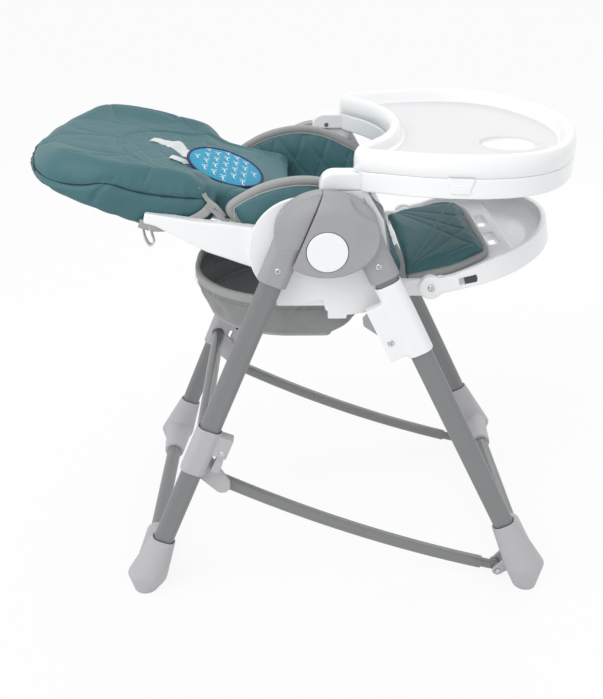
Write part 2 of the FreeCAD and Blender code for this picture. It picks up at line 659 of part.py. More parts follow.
def height_lever():
    """The squeeze lever behind the slider."""
    x = LEVER_X
    z = -LEVER_AT
    blade = side_prism([(x - 6, z - 4), (x - 30, z + 40), (x - 26, z + 52), (x - 14, z + 57),
                        (x + 6, z + 30), (x + 8, z)], LEVER_INNER, LEVER_INNER + LEVER_THICK)
    tail = side_prism([(x - 6, z + 2), (x + 7, z + 2), (x + 4, z - 34), (x - 8, z - 34)],
                      LEVER_INNER, LEVER_INNER + LEVER_THICK)
    hub = cross_rod(x, z, LEVER_INNER, LEVER_INNER + LEVER_THICK, LEVER_HUB)
    body = fused(blade, tail, hub)
    return on_front_leg(body.cut(cross_rod(x, z, LEVER_INNER - 1, BLOCK_OUTER, LEVER_SCREW + RUN)))


def lever_screw():
    shank = cross_rod(LEVER_X, -LEVER_AT, LEVER_INNER, BLOCK_OUTER, LEVER_SCREW)
    head = cross_rod(LEVER_X, -LEVER_AT, BLOCK_OUTER, BLOCK_OUTER + SCREW_HEAD_HEIGHT,
                     LEVER_SCREW_HEAD)
    return on_front_leg(fused(shank, head))


def recline_pin():
    return cross_rod(PIVOT.x, PIVOT.z, BACK_ARM_INNER - 2, PANEL_INNER, PIN_RADIUS)


def footrest_screw():
    head_y = FOOTREST_HALF_WIDTH + GAP
    shank = cross_rod(FOOTREST_X, FOOTREST_Z, TONGUE_OUTER - TONGUE_THICK, head_y, FOOTREST_PIN)
    head = cross_rod(FOOTREST_X, FOOTREST_Z, head_y, head_y + SCREW_HEAD_HEIGHT, FOOTREST_PIN + 4)
    return fused(shank, head)


def armrest():
    """A flat rail for the tray on a post inside the side panel."""
    low = ARM_TOP - ARM_DEPTH
    rail = box(-12, 178, ARM_INNER, ARM_OUTER, low, ARM_TOP)
    upright = [edge for edge in rail.Edges if abs(edge.BoundBox.ZLength - ARM_DEPTH) < 0.1]
    rail = rail.makeFillet(ARM_ROUND, upright)
    post = box(6, 60, ARM_INNER + 6, PANEL_INNER, low - ARM_POST_DROP, low)
    return fused(rail, post)


# ---- seat padding, harness and basket
def seat_cushion():
    low = PAN_TOP + GAP
    return side_prism([(-78, low), (-82, low + 12), (-78, CUSHION_TOP - 6), (-66, CUSHION_TOP),
                       (70, CUSHION_TOP), (112, CUSHION_TOP - 12), (134, 626), (136, 612), (126, low)],
                      -CUSHION_HALF_WIDTH, CUSHION_HALF_WIDTH)


def seat_wing():
    """A padded side of the seat with an arched top."""
    inner = CUSHION_HALF_WIDTH + GAP
    arch = Part.Arc(V(-160, inner, 728), V(-44, inner, 778), V(88, inner, 728)).toShape()
    corners = [V(88, inner, 728), V(104, inner, 652), V(98, inner, 604), V(-32, inner, 604),
               V(-104, inner, 660), V(-160, inner, 728)]
    face = Part.Face(Part.Wire([arch] + Part.makePolygon(corners).Edges))
    return face.extrude(V(0, WING_THICK, 0))


def cover_clip():
    y0 = CUSHION_HALF_WIDTH + GAP + WING_THICK
    return box(62, 80, y0, y0 + 8, 676, 694)


def crotch_strap():
    low = CUSHION_TOP + GAP
    return box(-30, 40, -14, 14, low, low + 2)


def buckle():
    low = CUSHION_TOP + GAP
    body = box(40, 68, -24, 24, low, low + 13)
    return body.makeFillet(4, [edge for edge in body.Edges if abs(edge.BoundBox.ZLength - 13) < 0.1])


def basket_wire(x_rear, x_front, half_width, z):
    """A plan outline that is round at the back and square at the front."""
    radius = half_width * 0.9
    square = half_width - radius
    corner = radius * (1 - sqrt(0.5))
    edges = []
    points = [V(x_front, -half_width, z), V(x_rear + radius, -half_width, z),
              V(x_rear, -square, z), V(x_rear, square, z), V(x_rear + radius, half_width, z),
              V(x_front, half_width, z)]
    edges.append(Part.makeLine(points[0], points[1]))
    edges.append(Part.Arc(points[1], V(x_rear + corner, corner - half_width, z), points[2]).toShape())
    edges.append(Part.makeLine(points[2], points[3]))
    edges.append(Part.Arc(points[3], V(x_rear + corner, half_width - corner, z), points[4]).toShape())
    edges.append(Part.makeLine(points[4], points[5]))
    return edges


def basket_shape(shrink, low, high):
    """Lofted from the small bottom outline to the wide rim outline."""
    wires = []
    depth = BASKET_RIM - BASKET_DEPTH
    for z in (low, high):
        share = (z - depth) / BASKET_DEPTH
        half_width = BASKET_HALF_WIDTH - BASKET_TAPER * (1 - share) - shrink
        rear = BASKET_REAR + 30 * (1 - share) + shrink
        front = BASKET_FRONT - 84 * (1 - share) - shrink
        edges = basket_wire(rear, front, half_width, z)
        edges.append(Part.makeLine(edges[-1].Vertexes[-1].Point, edges[0].Vertexes[0].Point))
        wires.append(Part.Wire(edges))
    return Part.makeLoft(wires, True)


def basket():
    low = BASKET_RIM - BASKET_DEPTH
    return basket_shape(0, low, BASKET_RIM).cut(basket_shape(BASKET_WALL, low + BASKET_WALL, BASKET_RIM + 1))


def basket_hoop():
    """The wire that holds the basket's rim up to the pan."""
    z = BASKET_RIM + HOOP_RADIUS + GAP
    inset_by = BASKET_WALL / 2
    edges = basket_wire(BASKET_REAR + inset_by, BASKET_FRONT, BASKET_HALF_WIDTH - inset_by, z)
    section = Part.Wire(Part.Circle(edges[0].Vertexes[0].Point, V(-1, 0, 0), HOOP_RADIUS).toShape())
    wire = Part.Wire(edges).makePipeShell([section], True, True)
    posts = []
    for x in (-60, BASKET_FRONT - 2):
        for side in (-1, 1):
            y = side * (BASKET_HALF_WIDTH - inset_by)
            posts.append(rod(V(x, y, z), V(x, y, PAN_TOP - PAN_WALL), HOOP_RADIUS + 0.5))
    return fused(wire, *posts)


# ---- backrest, drawn with the recline axis at the origin, the head end along -X and the face up
def head_outline(grow):
    """The round head beyond the widest place, as a plan prism far taller than the pad."""
    x_wide = -345.0
    length = BACK_LENGTH + x_wide + grow
    wide = BACK_HALF_WIDTH + grow
    ellipse = tall_ellipse(x_wide, wide, length)
    ellipse.translate(V(0, 0, -100))
    return ellipse.extrude(V(0, 0, 250))


def tall_ellipse(x, half_y, half_x):
    """An ellipse face whose long axis lies along Y."""
    curve = Part.Ellipse(V(0, 0, 0), half_y, half_x)
    face = Part.Face(Part.Wire(curve.toShape()))
    face.rotate(V(0, 0, 0), V(0, 0, 1), 90)
    face.translate(V(x, 0, 0))
    return face


def back_plan_prism(grow):
    """The wide part and the head, seen from above."""
    start = -BACK_WIDE_AT + grow
    wide = BACK_HALF_WIDTH + grow
    half = [(start, 196 + grow), (-240, 220 + grow), (-345, wide)]
    points = half + [(x, -y) for x, y in reversed(half)]
    sides = Part.Face(Part.makePolygon([V(x, y, -100) for x, y in points + points[:1]]))
    return fused(sides.extrude(V(0, 0, 250)), head_outline(grow))


def back_plate(grow):
    """The shell's plate under the cover, narrow between the wings."""
    side = side_prism([(-60, -PLATE_THICK - grow), (-300, -2 - grow), (-462, 15 - grow), (-462, 21 + grow),
                       (-300, 4 + grow), (-60, grow)], -300, 300)
    half = BACK_NARROW - 4 + grow
    plan = fused(box(-BACK_WIDE_AT - 20, -60 + grow, -half, half, -60, 60), back_plan_prism(grow - 22))
    return side.common(plan)


def back_arms(grow):
    """Side arms from the recline axis, tapering to the head."""
    arms = []
    for side in (-1, 1):
        y0 = side * (BACK_ARM_INNER - grow)
        y1 = side * (BACK_ARM_OUTER + grow)
        low_y = min(y0, y1)
        high_y = max(y0, y1)
        beam = side_prism([(0, 22 + grow), (-81, 19 + grow), (-180, 8 + grow), (-262 - grow, 4 + grow),
                           (-262 - grow, -13 - grow), (-242, -14 - grow), (-153, -39 - grow),
                           (-74, -49 - grow), (0, -45 - grow)], low_y, high_y)
        arms.append(beam)
        arms.append(cross_rod(0, 0, low_y, high_y, BACK_ARM_RADIUS + grow))
    return arms


def back_shell():
    plate = back_plate(0)
    bridge = box(*BRIDGE, -BACK_ARM_OUTER, BACK_ARM_OUTER, -12, 1.5)
    ears = []
    for side in (-1, 1):
        y = side * EAR_AT
        ears.append(box(HANDLE_X - 7, HANDLE_X + 7, y - 3, y + 3, HANDLE_Z - 6, -2))
    ears.append(cross_rod(HANDLE_X, HANDLE_Z, -EAR_AT, EAR_AT, HANDLE_PIN))
    body = fused(plate, bridge, *back_arms(0), *ears)
    return on_back(body.cut(cross_rod(0, 0, -PANEL_INNER, PANEL_INNER, PIN_RADIUS + RUN)))


def recline_handle():
    """The squeeze handle under the backrest."""
    half = HANDLE_HALF_WIDTH
    paddle = box(HANDLE_X - 62, HANDLE_X, -half, half, HANDLE_Z - 12, HANDLE_Z - 4)
    barrel = cross_rod(HANDLE_X, HANDLE_Z, -half, half, HANDLE_BARREL)
    body = fused(paddle, barrel).cut(cross_rod(HANDLE_X, HANDLE_Z, -half - 1, half + 1, HANDLE_PIN + RUN))
    return on_back(body)


def back_cover():
    """The padded cover: a slab between the wings and a wide head that wraps the shell."""
    slab = box(-BACK_WIDE_AT - 10, -32, -BACK_NARROW, BACK_NARROW, 2 + GAP, COVER_TOP)
    side = side_prism([(-BACK_WIDE_AT, COVER_TOP), (-300, COVER_TOP), (-400, 46), (-455, 37),
                       (-BACK_LENGTH, 24), (-BACK_LENGTH, 18), (-440, 8), (-346, -5), (-281, -17),
                       (-222, -24), (-222, 2 + GAP), (-BACK_WIDE_AT, 2 + GAP)], -300, 300)
    wide = side.common(back_plan_prism(0))
    body = fused(slab, wide)
    bridge = box(BRIDGE[0] - GAP, BRIDGE[1] + GAP, -FAR, FAR, -13, 1.5 + GAP)
    for piece in [back_plate(GAP), bridge, *back_arms(GAP)]:
        body = body.cut(piece)
    largest = max(body.Solids, key=lambda solid: solid.Volume)
    return on_back(largest)


def shoulder_straps():
    low = COVER_TOP + GAP
    straps = []
    for rear, front, rear_y, front_y in ((-300, -150, 50, -36), (-248, -150, -38, -68)):
        half = STRAP_WIDTH / 2
        points = [V(rear, rear_y - half, low), V(front, front_y - half, low), V(front, front_y + half, low),
                  V(rear, rear_y + half, low)]
        face = Part.Face(Part.makePolygon(points + points[:1]))
        straps.append(face.extrude(V(0, 0, STRAP_THICK)))
    return on_back(group(*straps))


def oval_pad():
    low = COVER_TOP + 2 * GAP + STRAP_THICK
    centre = V(*PAD_AT, low)
    outline = Part.Ellipse(centre, PAD_HALF_LENGTH, PAD_HALF_WIDTH).toShape()
    outline.rotate(centre, V(0, 0, 1), PAD_TURN)
    return on_back(Part.Face(Part.Wire(outline)).extrude(V(0, 0, PAD_THICK)))


def cover_tab():
    return on_back(box(-262, -242, -196, -194, -52, -22))


# ---- footrest, drawn with its pivot at the origin and the front along +X
def footrest_plan(inset_by, low, high):
    """Straight sides and a half-elliptical front."""
    half_width = FOOTREST_HALF_WIDTH - inset_by
    reach = FOOTREST_REACH - FOOTREST_SIDE - inset_by
    sides = box(0, FOOTREST_SIDE, -half_width, half_width, low, high)
    front = tall_ellipse(FOOTREST_SIDE, half_width, reach)
    front.translate(V(0, 0, low))
    front = front.extrude(V(0, 0, high - low))
    return fused(sides, front.cut(box(-FAR, FOOTREST_SIDE, -FAR, FAR, low - 1, high + 1)))


def footrest():
    wall = FOOTREST_WALL
    rim = footrest_plan(0, RIM_LOW, RIM_HIGH).cut(footrest_plan(wall, BOARD_LOW + 4, RIM_HIGH + 1))
    inner = FOOTREST_HALF_WIDTH - wall
    rim = rim.cut(box(-1, BOARD_REAR, -inner, inner, RIM_LOW - 1, RIM_HIGH + 1))
    taper = side_prism([(-1, RIM_HIGH + 1), (120, RIM_HIGH + 1), (40, 15), (-1, 15)], -300, 300)
    board = box(BOARD_REAR, BOARD_FRONT, -inner, inner, BOARD_LOW, BOARD_TOP)
    board = board.common(footrest_plan(1, RIM_LOW, RIM_HIGH))
    cheeks = []
    for side in (-1, 1):
        y0 = side * (FOOTREST_HALF_WIDTH - wall)
        y1 = side * FOOTREST_HALF_WIDTH
        cheeks.append(cross_rod(0, 0, min(y0, y1), max(y0, y1), FOOTREST_CHEEK))
    body = fused(rim.cut(taper), board, *cheeks)
    for side in (-1, 1):
        y = side * SLOT_Y
        body = body.cut(box(SLOT_X - SLOT_WIDTH / 2, SLOT_X + SLOT_WIDTH / 2, y - SLOT_LENGTH / 2,
                            y + SLOT_LENGTH / 2, RIM_LOW - 1, BOARD_TOP + 1))
        y0 = side * (FOOTREST_HALF_WIDTH - wall + 2)
        y1 = side * (FOOTREST_HALF_WIDTH + 1)
        body = body.cut(box(BUTTON_SLOT[0], BUTTON_SLOT[1], min(y0, y1), max(y0, y1),
                            -BUTTON_SLOT_HALF, BUTTON_SLOT_HALF))
    body = body.cut(cross_rod(0, 0, -FOOTREST_HALF_WIDTH - 1, FOOTREST_HALF_WIDTH + 1, FOOTREST_PIN + RUN))
    return on_footrest(body)


def footrest_button():
    """The slide catch in the side of the footrest."""
    y0 = FOOTREST_HALF_WIDTH - FOOTREST_WALL + 2 + 0.1
    half = BUTTON_SLOT_HALF - GAP
    return on_footrest(box(BUTTON_SLOT[0] + FOOT_BUTTON_TRAVEL + 1, BUTTON_SLOT[1] - 1,
                           y0, FOOTREST_HALF_WIDTH - 0.5, -half, half))


def legrest_pad():
    low = BOARD_TOP + GAP
    corners = [V(-36, -168, low), V(40, -168, low), V(112, -134, low), V(112, 134, low), V(40, 168, low),
               V(-36, 168, low)]
    face = Part.Face(Part.makePolygon(corners + corners[:1]))
    pad = face.extrude(V(0, 0, LEGREST_THICK))
    upright = [edge for edge in pad.Edges if abs(edge.BoundBox.ZLength - LEGREST_THICK) < 0.1
               and edge.BoundBox.XMin > 100]
    return on_footrest(pad.makeFillet(LEGREST_ROUND, upright))


# ---- tray
def tray_points():
    """Half of the tray's outline: belly cut-out, lobe, side and rounded front."""
    x = TRAY_REAR
    width = TRAY_HALF_WIDTH
    front = TRAY_FRONT
    return [(x + 74, 0), (x + 66, 70), (x + 40, 140), (x + 12, 184), (x, 213), (x + 10, 237), (x + 34, 248),
            (x + 86, width - 15), (x + 144, width - 2), (x + 216, width), (x + 286, width - 22),
            (x + 336, width - 72), (front - 24, width - 150), (front - 4, 55), (front, 0)]


def tray_outline(inset_by):
    points = list(reversed(both_sides(tray_points())))
    return plan_spline(inset(points, inset_by) if inset_by else points)


def tray_base():
    """The carrier under the tray: a skirt, a deck and channels round the armrests."""
    deck_low = TRAY_BASE_TOP - TRAY_DECK
    shell = plan_prism(tray_outline(0), TRAY_BOTTOM, TRAY_BASE_TOP)
    shell = shell.cut(plan_prism(tray_outline(TRAY_WALL), TRAY_BOTTOM - 1, deck_low))
    body = shell
    for side in (-1, 1):
        for inner in (ARM_INNER - GAP - RAIL_WALL, ARM_OUTER + GAP):
            y0 = side * inner
            y1 = side * (inner + RAIL_WALL)
            channel = box(TRAY_REAR + 30, RAIL_FRONT, min(y0, y1), max(y0, y1), TRAY_BOTTOM + 4,
                          deck_low + 1)
            body = body.fuse(channel)
        y0 = side * (ARM_INNER - GAP)
        y1 = side * (ARM_OUTER + GAP)
        body = body.cut(box(0, TRAY_REAR + 90, min(y0, y1), max(y0, y1), TRAY_BOTTOM - 1, deck_low))
    return body.removeSplitter()


def tray_top():
    """The removable tray: a raised rim, a sunken floor and a cup recess."""
    low = TRAY_BASE_TOP + GAP
    body = plan_prism(tray_outline(0), low, TRAY_RIM_TOP)
    body = body.cut(plan_prism(tray_outline(TRAY_RIM_WIDTH), low + TRAY_FLOOR, TRAY_RIM_TOP + 1))
    cup = Part.makeCylinder(CUP_RADIUS, 20, V(*CUP_PLACE, low + CUP_FLOOR))
    return body.cut(cup)


# ---- the whole chair
def make_nodes():
    """Every sub-part by name, before the move to the final origin."""
    nodes = {}

    def pair(name, shape):
        nodes[name + "_left"] = shape
        nodes[name + "_right"] = mirrored(shape)

    pair("front_leg", front_leg())
    pair("front_foot", front_foot())
    nodes["front_cross_tube"] = cross_tube(FRONT_HEEL.x, FRONT_HEEL.z + CROSS_LIFT,
                                           CROSS_REACH - CROSS_END_GAP, CROSS_RADIUS)
    pair("hub_front", hub_front())
    nodes["hub_bolts"] = group(hub_bolt(), mirrored(hub_bolt()))
    front_screw = sleeve_screw(on_front_leg, FRONT_OFFSET)
    nodes["front_sleeve_screws"] = group(front_screw, mirrored(front_screw))
    nodes["stay_pins"] = group(lug_pin(), mirrored(lug_pin()))
    pair("rear_leg", rear_leg())
    pair("rear_foot", rear_foot())
    nodes["rear_cross_tube"] = cross_tube(REAR_HEEL.x, REAR_HEEL.z + CROSS_LIFT, CROSS_REACH - CROSS_END_GAP,
                                          CROSS_RADIUS)
    pair("hub_rear", hub_rear())
    rear_screw = sleeve_screw(on_rear_leg, -REAR_OFFSET)
    nodes["rear_sleeve_screws"] = group(rear_screw, mirrored(rear_screw))
    pair("stay_clamp", clamp())
    nodes["clamp_cross_tube"] = clamp_cross_tube()
    rivets = clamp_rivets()
    nodes["clamp_rivets"] = group(rivets, mirrored(rivets))
    pair("clamp_latch", clamp_latch())
    pair("side_stay", stay())
    pair("hub_button", hub_button())

    pair("seat_side", seat_side())
    nodes["seat_pan"] = seat_pan()
    pair("seat_slider", slider())
    pair("height_lever", height_lever())
    screws = group(lever_screw(), footrest_screw())
    nodes["seat_screws"] = group(screws, mirrored(screws))
    nodes["recline_pins"] = group(recline_pin(), mirrored(recline_pin()))
    pair("armrest", armrest())
    nodes["seat_cushion"] = seat_cushion()
    pair("seat_wing", seat_wing())
    nodes["cover_clips"] = group(cover_clip(), mirrored(cover_clip()))
    nodes["crotch_strap"] = crotch_strap()
    nodes["buckle"] = buckle()
    nodes["basket"] = basket()
    nodes["basket_hoop"] = basket_hoop()

    nodes["back_shell"] = back_shell()
    nodes["back_cover"] = back_cover()
    nodes["shoulder_straps"] = shoulder_straps()
    nodes["oval_pad"] = oval_pad()
    nodes["cover_tab"] = cover_tab()
    nodes["recline_handle"] = recline_handle()

    nodes["footrest"] = footrest()
    nodes["legrest_pad"] = legrest_pad()
    pair("footrest_button", footrest_button())

    nodes["tray_base"] = tray_base()
    nodes["tray_top"] = tray_top()
    return nodes


def move_to_origin(nodes):
    """How far the chair moves along X, so that its bounding box is centred on the origin."""
    low = min(shape.BoundBox.XMin for shape in nodes.values())
    high = max(shape.BoundBox.XMax for shape in nodes.values())
    return -(low + high) / 2


def main():
    nodes = make_nodes()
    shift = move_to_origin(nodes)
    os.makedirs("parts", exist_ok=True)
    for name, shape in nodes.items():
        shape.translate(V(shift, 0, 0))
        shape.exportStep("parts/" + name + ".step")


if __name__ == "__main__":
    main()
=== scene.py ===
import json
from math import cos, exp, pi, radians, sin, sqrt

import bmesh
import bpy
import numpy as np
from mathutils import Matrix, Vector
from mathutils.bvhtree import BVHTree
from mathutils.geometry import delaunay_2d_cdt
from mathutils.kdtree import KDTree


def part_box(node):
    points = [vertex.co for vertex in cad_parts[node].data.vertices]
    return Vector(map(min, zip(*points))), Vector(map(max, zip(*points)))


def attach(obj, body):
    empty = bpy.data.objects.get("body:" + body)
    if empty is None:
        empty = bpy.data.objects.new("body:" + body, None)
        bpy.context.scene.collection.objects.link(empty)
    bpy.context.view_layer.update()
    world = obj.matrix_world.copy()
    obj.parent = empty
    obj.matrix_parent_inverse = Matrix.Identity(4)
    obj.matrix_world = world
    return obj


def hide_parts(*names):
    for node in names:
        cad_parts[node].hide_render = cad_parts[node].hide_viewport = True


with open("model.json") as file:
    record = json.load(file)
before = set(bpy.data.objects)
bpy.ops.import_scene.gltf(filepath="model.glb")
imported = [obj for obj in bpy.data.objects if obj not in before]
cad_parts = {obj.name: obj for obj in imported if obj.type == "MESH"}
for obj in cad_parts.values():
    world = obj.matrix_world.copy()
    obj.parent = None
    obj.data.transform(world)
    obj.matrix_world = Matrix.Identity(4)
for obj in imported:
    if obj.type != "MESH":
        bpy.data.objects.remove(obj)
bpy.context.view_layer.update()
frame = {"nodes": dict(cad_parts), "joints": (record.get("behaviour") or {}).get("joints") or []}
NODES = frame["nodes"]
MM = 0.001
SEED = 7

# %% [markdown]
# ## Where things are
# Two places carry the whole chair: the hub axis, where the legs cross, and the recline axis.  Both
# are read from the frame, so nothing here needs measuring by eye.  The backrest and the footrest
# are drawn in their own sloped axes, which two short functions carry to the chair.
# %% Axes
def middle(node):
    low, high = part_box(node)
    return (low + high) / 2


HUB = middle("hub_button_left")
PIVOT = middle("recline_pins")
FOOT_PIVOT = next(Vector(j["pos_m"]) for j in frame["joints"] if j["child"] == "footrest")
BACK_SLOPE = radians(13.0)
FOOT_SLOPE = radians(13.0)
FRONT_LEAN = radians(26.2)
REAR_LEAN = radians(22.2)


def turned(points, angle, centre):
    """Points turned about Y by an angle, then carried to a centre; points are rows of x, y, z."""
    points = np.asarray(points, float)
    x = points[:, 0] * cos(angle) + points[:, 2] * sin(angle)
    z = points[:, 2] * cos(angle) - points[:, 0] * sin(angle)
    return np.column_stack([x + centre[0], points[:, 1], z + centre[2]])


def to_back(points):
    return turned(points, BACK_SLOPE, PIVOT)


def to_footrest(points):
    return turned(points, -FOOT_SLOPE, FOOT_PIVOT)


def to_front_leg(points):
    return turned(points, -FRONT_LEAN, (HUB.x, 0, HUB.z))


def to_rear_leg(points):
    return turned(points, REAR_LEAN, (HUB.x, 0, HUB.z))


def to_chair(points):
    """From places drawn from the hub axis along the floor and above it."""
    return np.asarray(points, float) + np.array([HUB.x, 0, 0])


def directions(place, vectors):
    """Directions, and not places, carried by one of the placing functions."""
    vectors = np.asarray(vectors, float)
    return place(vectors) - place(np.zeros_like(vectors))


def side_name(side):
    """The chair's left is at positive y."""
    return "left" if side > 0 else "right"


def with_mirror(half):
    """A line through its half at positive y and that half's mirror image."""
    return [*half, *[(x, -y) for x, y in reversed(half[:-1])]]


print("hub axis at", tuple(round(v, 3) for v in (HUB.x, HUB.z)))

# %% [markdown]
# ## Camera, floor and light
# The camera looks along the width of the chair from a little above, with a normal lens.  The floor
# and the world are white to the camera and to mirrors only, through Light Path, so that the
# chair itself is lit at a plain level and still stands on a clean page with its shadow.
# %% Camera
IMAGE_SIZE = (603, 699)
SENSOR = 36.0
FOCAL_PIXELS = 888.3
CAMERA_PLACE = Vector((-0.0223, -1.5919, 1.1710))
CAMERA_PITCH = radians(26.5)
CAMERA_YAW = radians(0.804)

camera_data = bpy.data.cameras.new("camera")
camera_data.sensor_width = SENSOR
camera_data.lens = FOCAL_PIXELS / max(IMAGE_SIZE) * SENSOR
camera = bpy.data.objects.new("camera", camera_data)
bpy.context.scene.collection.objects.link(camera)
bpy.context.scene.camera = camera
view_direction = Vector((sin(CAMERA_YAW) * cos(CAMERA_PITCH), cos(CAMERA_YAW) * cos(CAMERA_PITCH),
                         -sin(CAMERA_PITCH)))
camera.location = CAMERA_PLACE
camera.rotation_euler = view_direction.to_track_quat("-Z", "Y").to_euler()
bpy.context.scene.view_settings.view_transform = "Standard"


# %% Floor, world and lamps
def white_to_the_eye(tree, light_shader, white):
    """Shows a plain white to camera, mirror and glass rays, and the given shader to the rest."""
    nodes = tree.nodes
    path = nodes.new("ShaderNodeLightPath")
    seen = nodes.new("ShaderNodeMath")
    seen.operation = "MAXIMUM"
    clear = nodes.new("ShaderNodeMath")
    clear.operation = "MAXIMUM"
    tree.links.new(path.outputs["Is Camera Ray"], seen.inputs[0])
    tree.links.new(path.outputs["Is Glossy Ray"], seen.inputs[1])
    tree.links.new(seen.outputs[0], clear.inputs[0])
    tree.links.new(path.outputs["Is Transmission Ray"], clear.inputs[1])
    mix = nodes.new("ShaderNodeMixShader")
    tree.links.new(clear.outputs[0], mix.inputs[0])
    tree.links.new(light_shader, mix.inputs[1])
    tree.links.new(white, mix.inputs[2])
    return mix.outputs[0]


WORLD_LIGHT = 0.78
world = bpy.data.worlds.new("studio")
bpy.context.scene.world = world
world.use_nodes = True
world_nodes = world.node_tree.nodes
soft_sky = world_nodes["Background"]
soft_sky.inputs["Color"].default_value = (0.97, 0.985, 1.0, 1)
soft_sky.inputs["Strength"].default_value = WORLD_LIGHT
white_page = world_nodes.new("ShaderNodeBackground")
white_page.inputs["Color"].default_value = (1, 1, 1, 1)
white_page.inputs["Strength"].default_value = 1.0
seen_world = white_to_the_eye(world.node_tree, soft_sky.outputs[0], white_page.outputs[0])
world.node_tree.links.new(seen_world, world_nodes["World Output"].inputs["Surface"])

FLOOR_SIZE = 30.0
FLOOR_SHADOW = 0.12     # how much of the floor's own shading the camera sees
floor_mesh = bpy.data.meshes.new("floor")
half_floor = FLOOR_SIZE / 2
floor_mesh.from_pydata([(-half_floor, -half_floor, 0), (half_floor, -half_floor, 0),
                        (half_floor, half_floor, 0), (-half_floor, half_floor, 0)], [], [(0, 1, 2, 3)])
floor = bpy.data.objects.new("floor", floor_mesh)
bpy.context.scene.collection.objects.link(floor)
floor_finish = bpy.data.materials.new("pale_floor")
floor_finish.use_nodes = True
floor_tree = floor_finish.node_tree
floor_paint = floor_tree.nodes["Principled BSDF"]
floor_paint.inputs["Base Color"].default_value = (0.9, 0.9, 0.9, 1)
floor_paint.inputs["Roughness"].default_value = 0.9
floor_white = floor_tree.nodes.new("ShaderNodeEmission")
floor_white.inputs["Color"].default_value = (1, 1, 1, 1)
floor_share = floor_tree.nodes.new("ShaderNodeMixShader")
floor_share.inputs[0].default_value = 1 - FLOOR_SHADOW
floor_tree.links.new(floor_paint.outputs[0], floor_share.inputs[1])
floor_tree.links.new(floor_white.outputs[0], floor_share.inputs[2])
seen_floor = white_to_the_eye(floor_tree, floor_paint.outputs[0], floor_share.outputs[0])
floor_tree.links.new(seen_floor, floor_tree.nodes["Material Output"].inputs["Surface"])
floor_mesh.materials.append(floor_finish)


def area_lamp(name, place, aim, size, power):
    data = bpy.data.lights.new(name, "AREA")
    data.size = size
    data.energy = power
    lamp = bpy.data.objects.new(name, data)
    bpy.context.scene.collection.objects.link(lamp)
    lamp.location = place
    lamp.rotation_euler = (Vector(aim) - Vector(place)).to_track_quat("-Z", "Y").to_euler()
    return lamp


area_lamp("key_lamp", (-1.6, -1.8, 3.0), (0, 0, 0.5), 2.2, 46)
area_lamp("back_lamp", (1.4, 2.2, 2.6), (0, 0, 0.5), 2.4, 22)

# %% [markdown]
# ## Finishes
# The chair has about a dozen finishes.  Most share two effects: a fine grain, which moulded
# plastic, paint and leatherette all have at different scales, and a woven thread pattern for
# cloth and webbing.  Each effect is one node group with named inputs, and every finish places it
# with its own values.  The colour is varied a little over the surface, because no real piece is
# one flat colour.
# %% Node groups for grain and weave
def new_group(name, inputs, outputs):
    group = bpy.data.node_groups.new(name, "ShaderNodeTree")
    for socket, kind, value in inputs:
        made = group.interface.new_socket(socket, in_out="INPUT", socket_type="NodeSocket" + kind)
        if value is not None:
            made.default_value = value
    for socket, kind in outputs:
        group.interface.new_socket(socket, in_out="OUTPUT", socket_type="NodeSocket" + kind)
    return group, group.nodes.new("NodeGroupInput"), group.nodes.new("NodeGroupOutput")


def math_node(tree, operation, first, second=None):
    node = tree.nodes.new("ShaderNodeMath")
    node.operation = operation
    for socket, value in zip(node.inputs, (first, second)):
        if value is None:
            continue
        if isinstance(value, (int, float)):
            socket.default_value = value
        else:
            tree.links.new(value, socket)
    return node.outputs[0]


def make_grain_group():
    """Fine bumps and broad mottling on Object coordinates."""
    group, given, result = new_group(
        "surface_grain",
        [("Grain Scale", "Float", 900.0), ("Mottle Scale", "Float", 9.0),
         ("Colour", "Color", (1, 1, 1, 1)), ("Mottle", "Float", 0.08), ("Roughness", "Float", 0.4),
         ("Roughness Spread", "Float", 0.08)],
        [("Colour", "Color"), ("Roughness", "Float"), ("Height", "Float")])
    place = group.nodes.new("ShaderNodeTexCoord")
    fine = group.nodes.new("ShaderNodeTexVoronoi")
    broad = group.nodes.new("ShaderNodeTexNoise")
    broad.inputs["Detail"].default_value = 4.0
    group.links.new(place.outputs["Object"], fine.inputs["Vector"])
    group.links.new(place.outputs["Object"], broad.inputs["Vector"])
    group.links.new(given.outputs["Grain Scale"], fine.inputs["Scale"])
    group.links.new(given.outputs["Mottle Scale"], broad.inputs["Scale"])
    swing = math_node(group, "SUBTRACT", broad.outputs["Fac"], 0.5)
    shade = math_node(group, "MULTIPLY", swing, given.outputs["Mottle"])
    level = math_node(group, "ADD", shade, 1.0)
    tint = group.nodes.new("ShaderNodeVectorMath")
    tint.operation = "SCALE"
    group.links.new(given.outputs["Colour"], tint.inputs[0])
    group.links.new(level, tint.inputs["Scale"])
    group.links.new(tint.outputs[0], result.inputs["Colour"])
    spread = math_node(group, "MULTIPLY", swing, given.outputs["Roughness Spread"])
    roughness = math_node(group, "ADD", spread, given.outputs["Roughness"])
    group.links.new(roughness, result.inputs["Roughness"])
    group.links.new(fine.outputs["Distance"], result.inputs["Height"])
    return group


THREAD_LEAN = 0.6       # how far the cross threads lean along a steep face
MIDDLE_HEIGHT = 0.4     # the height at which a thread has the cloth's own colour


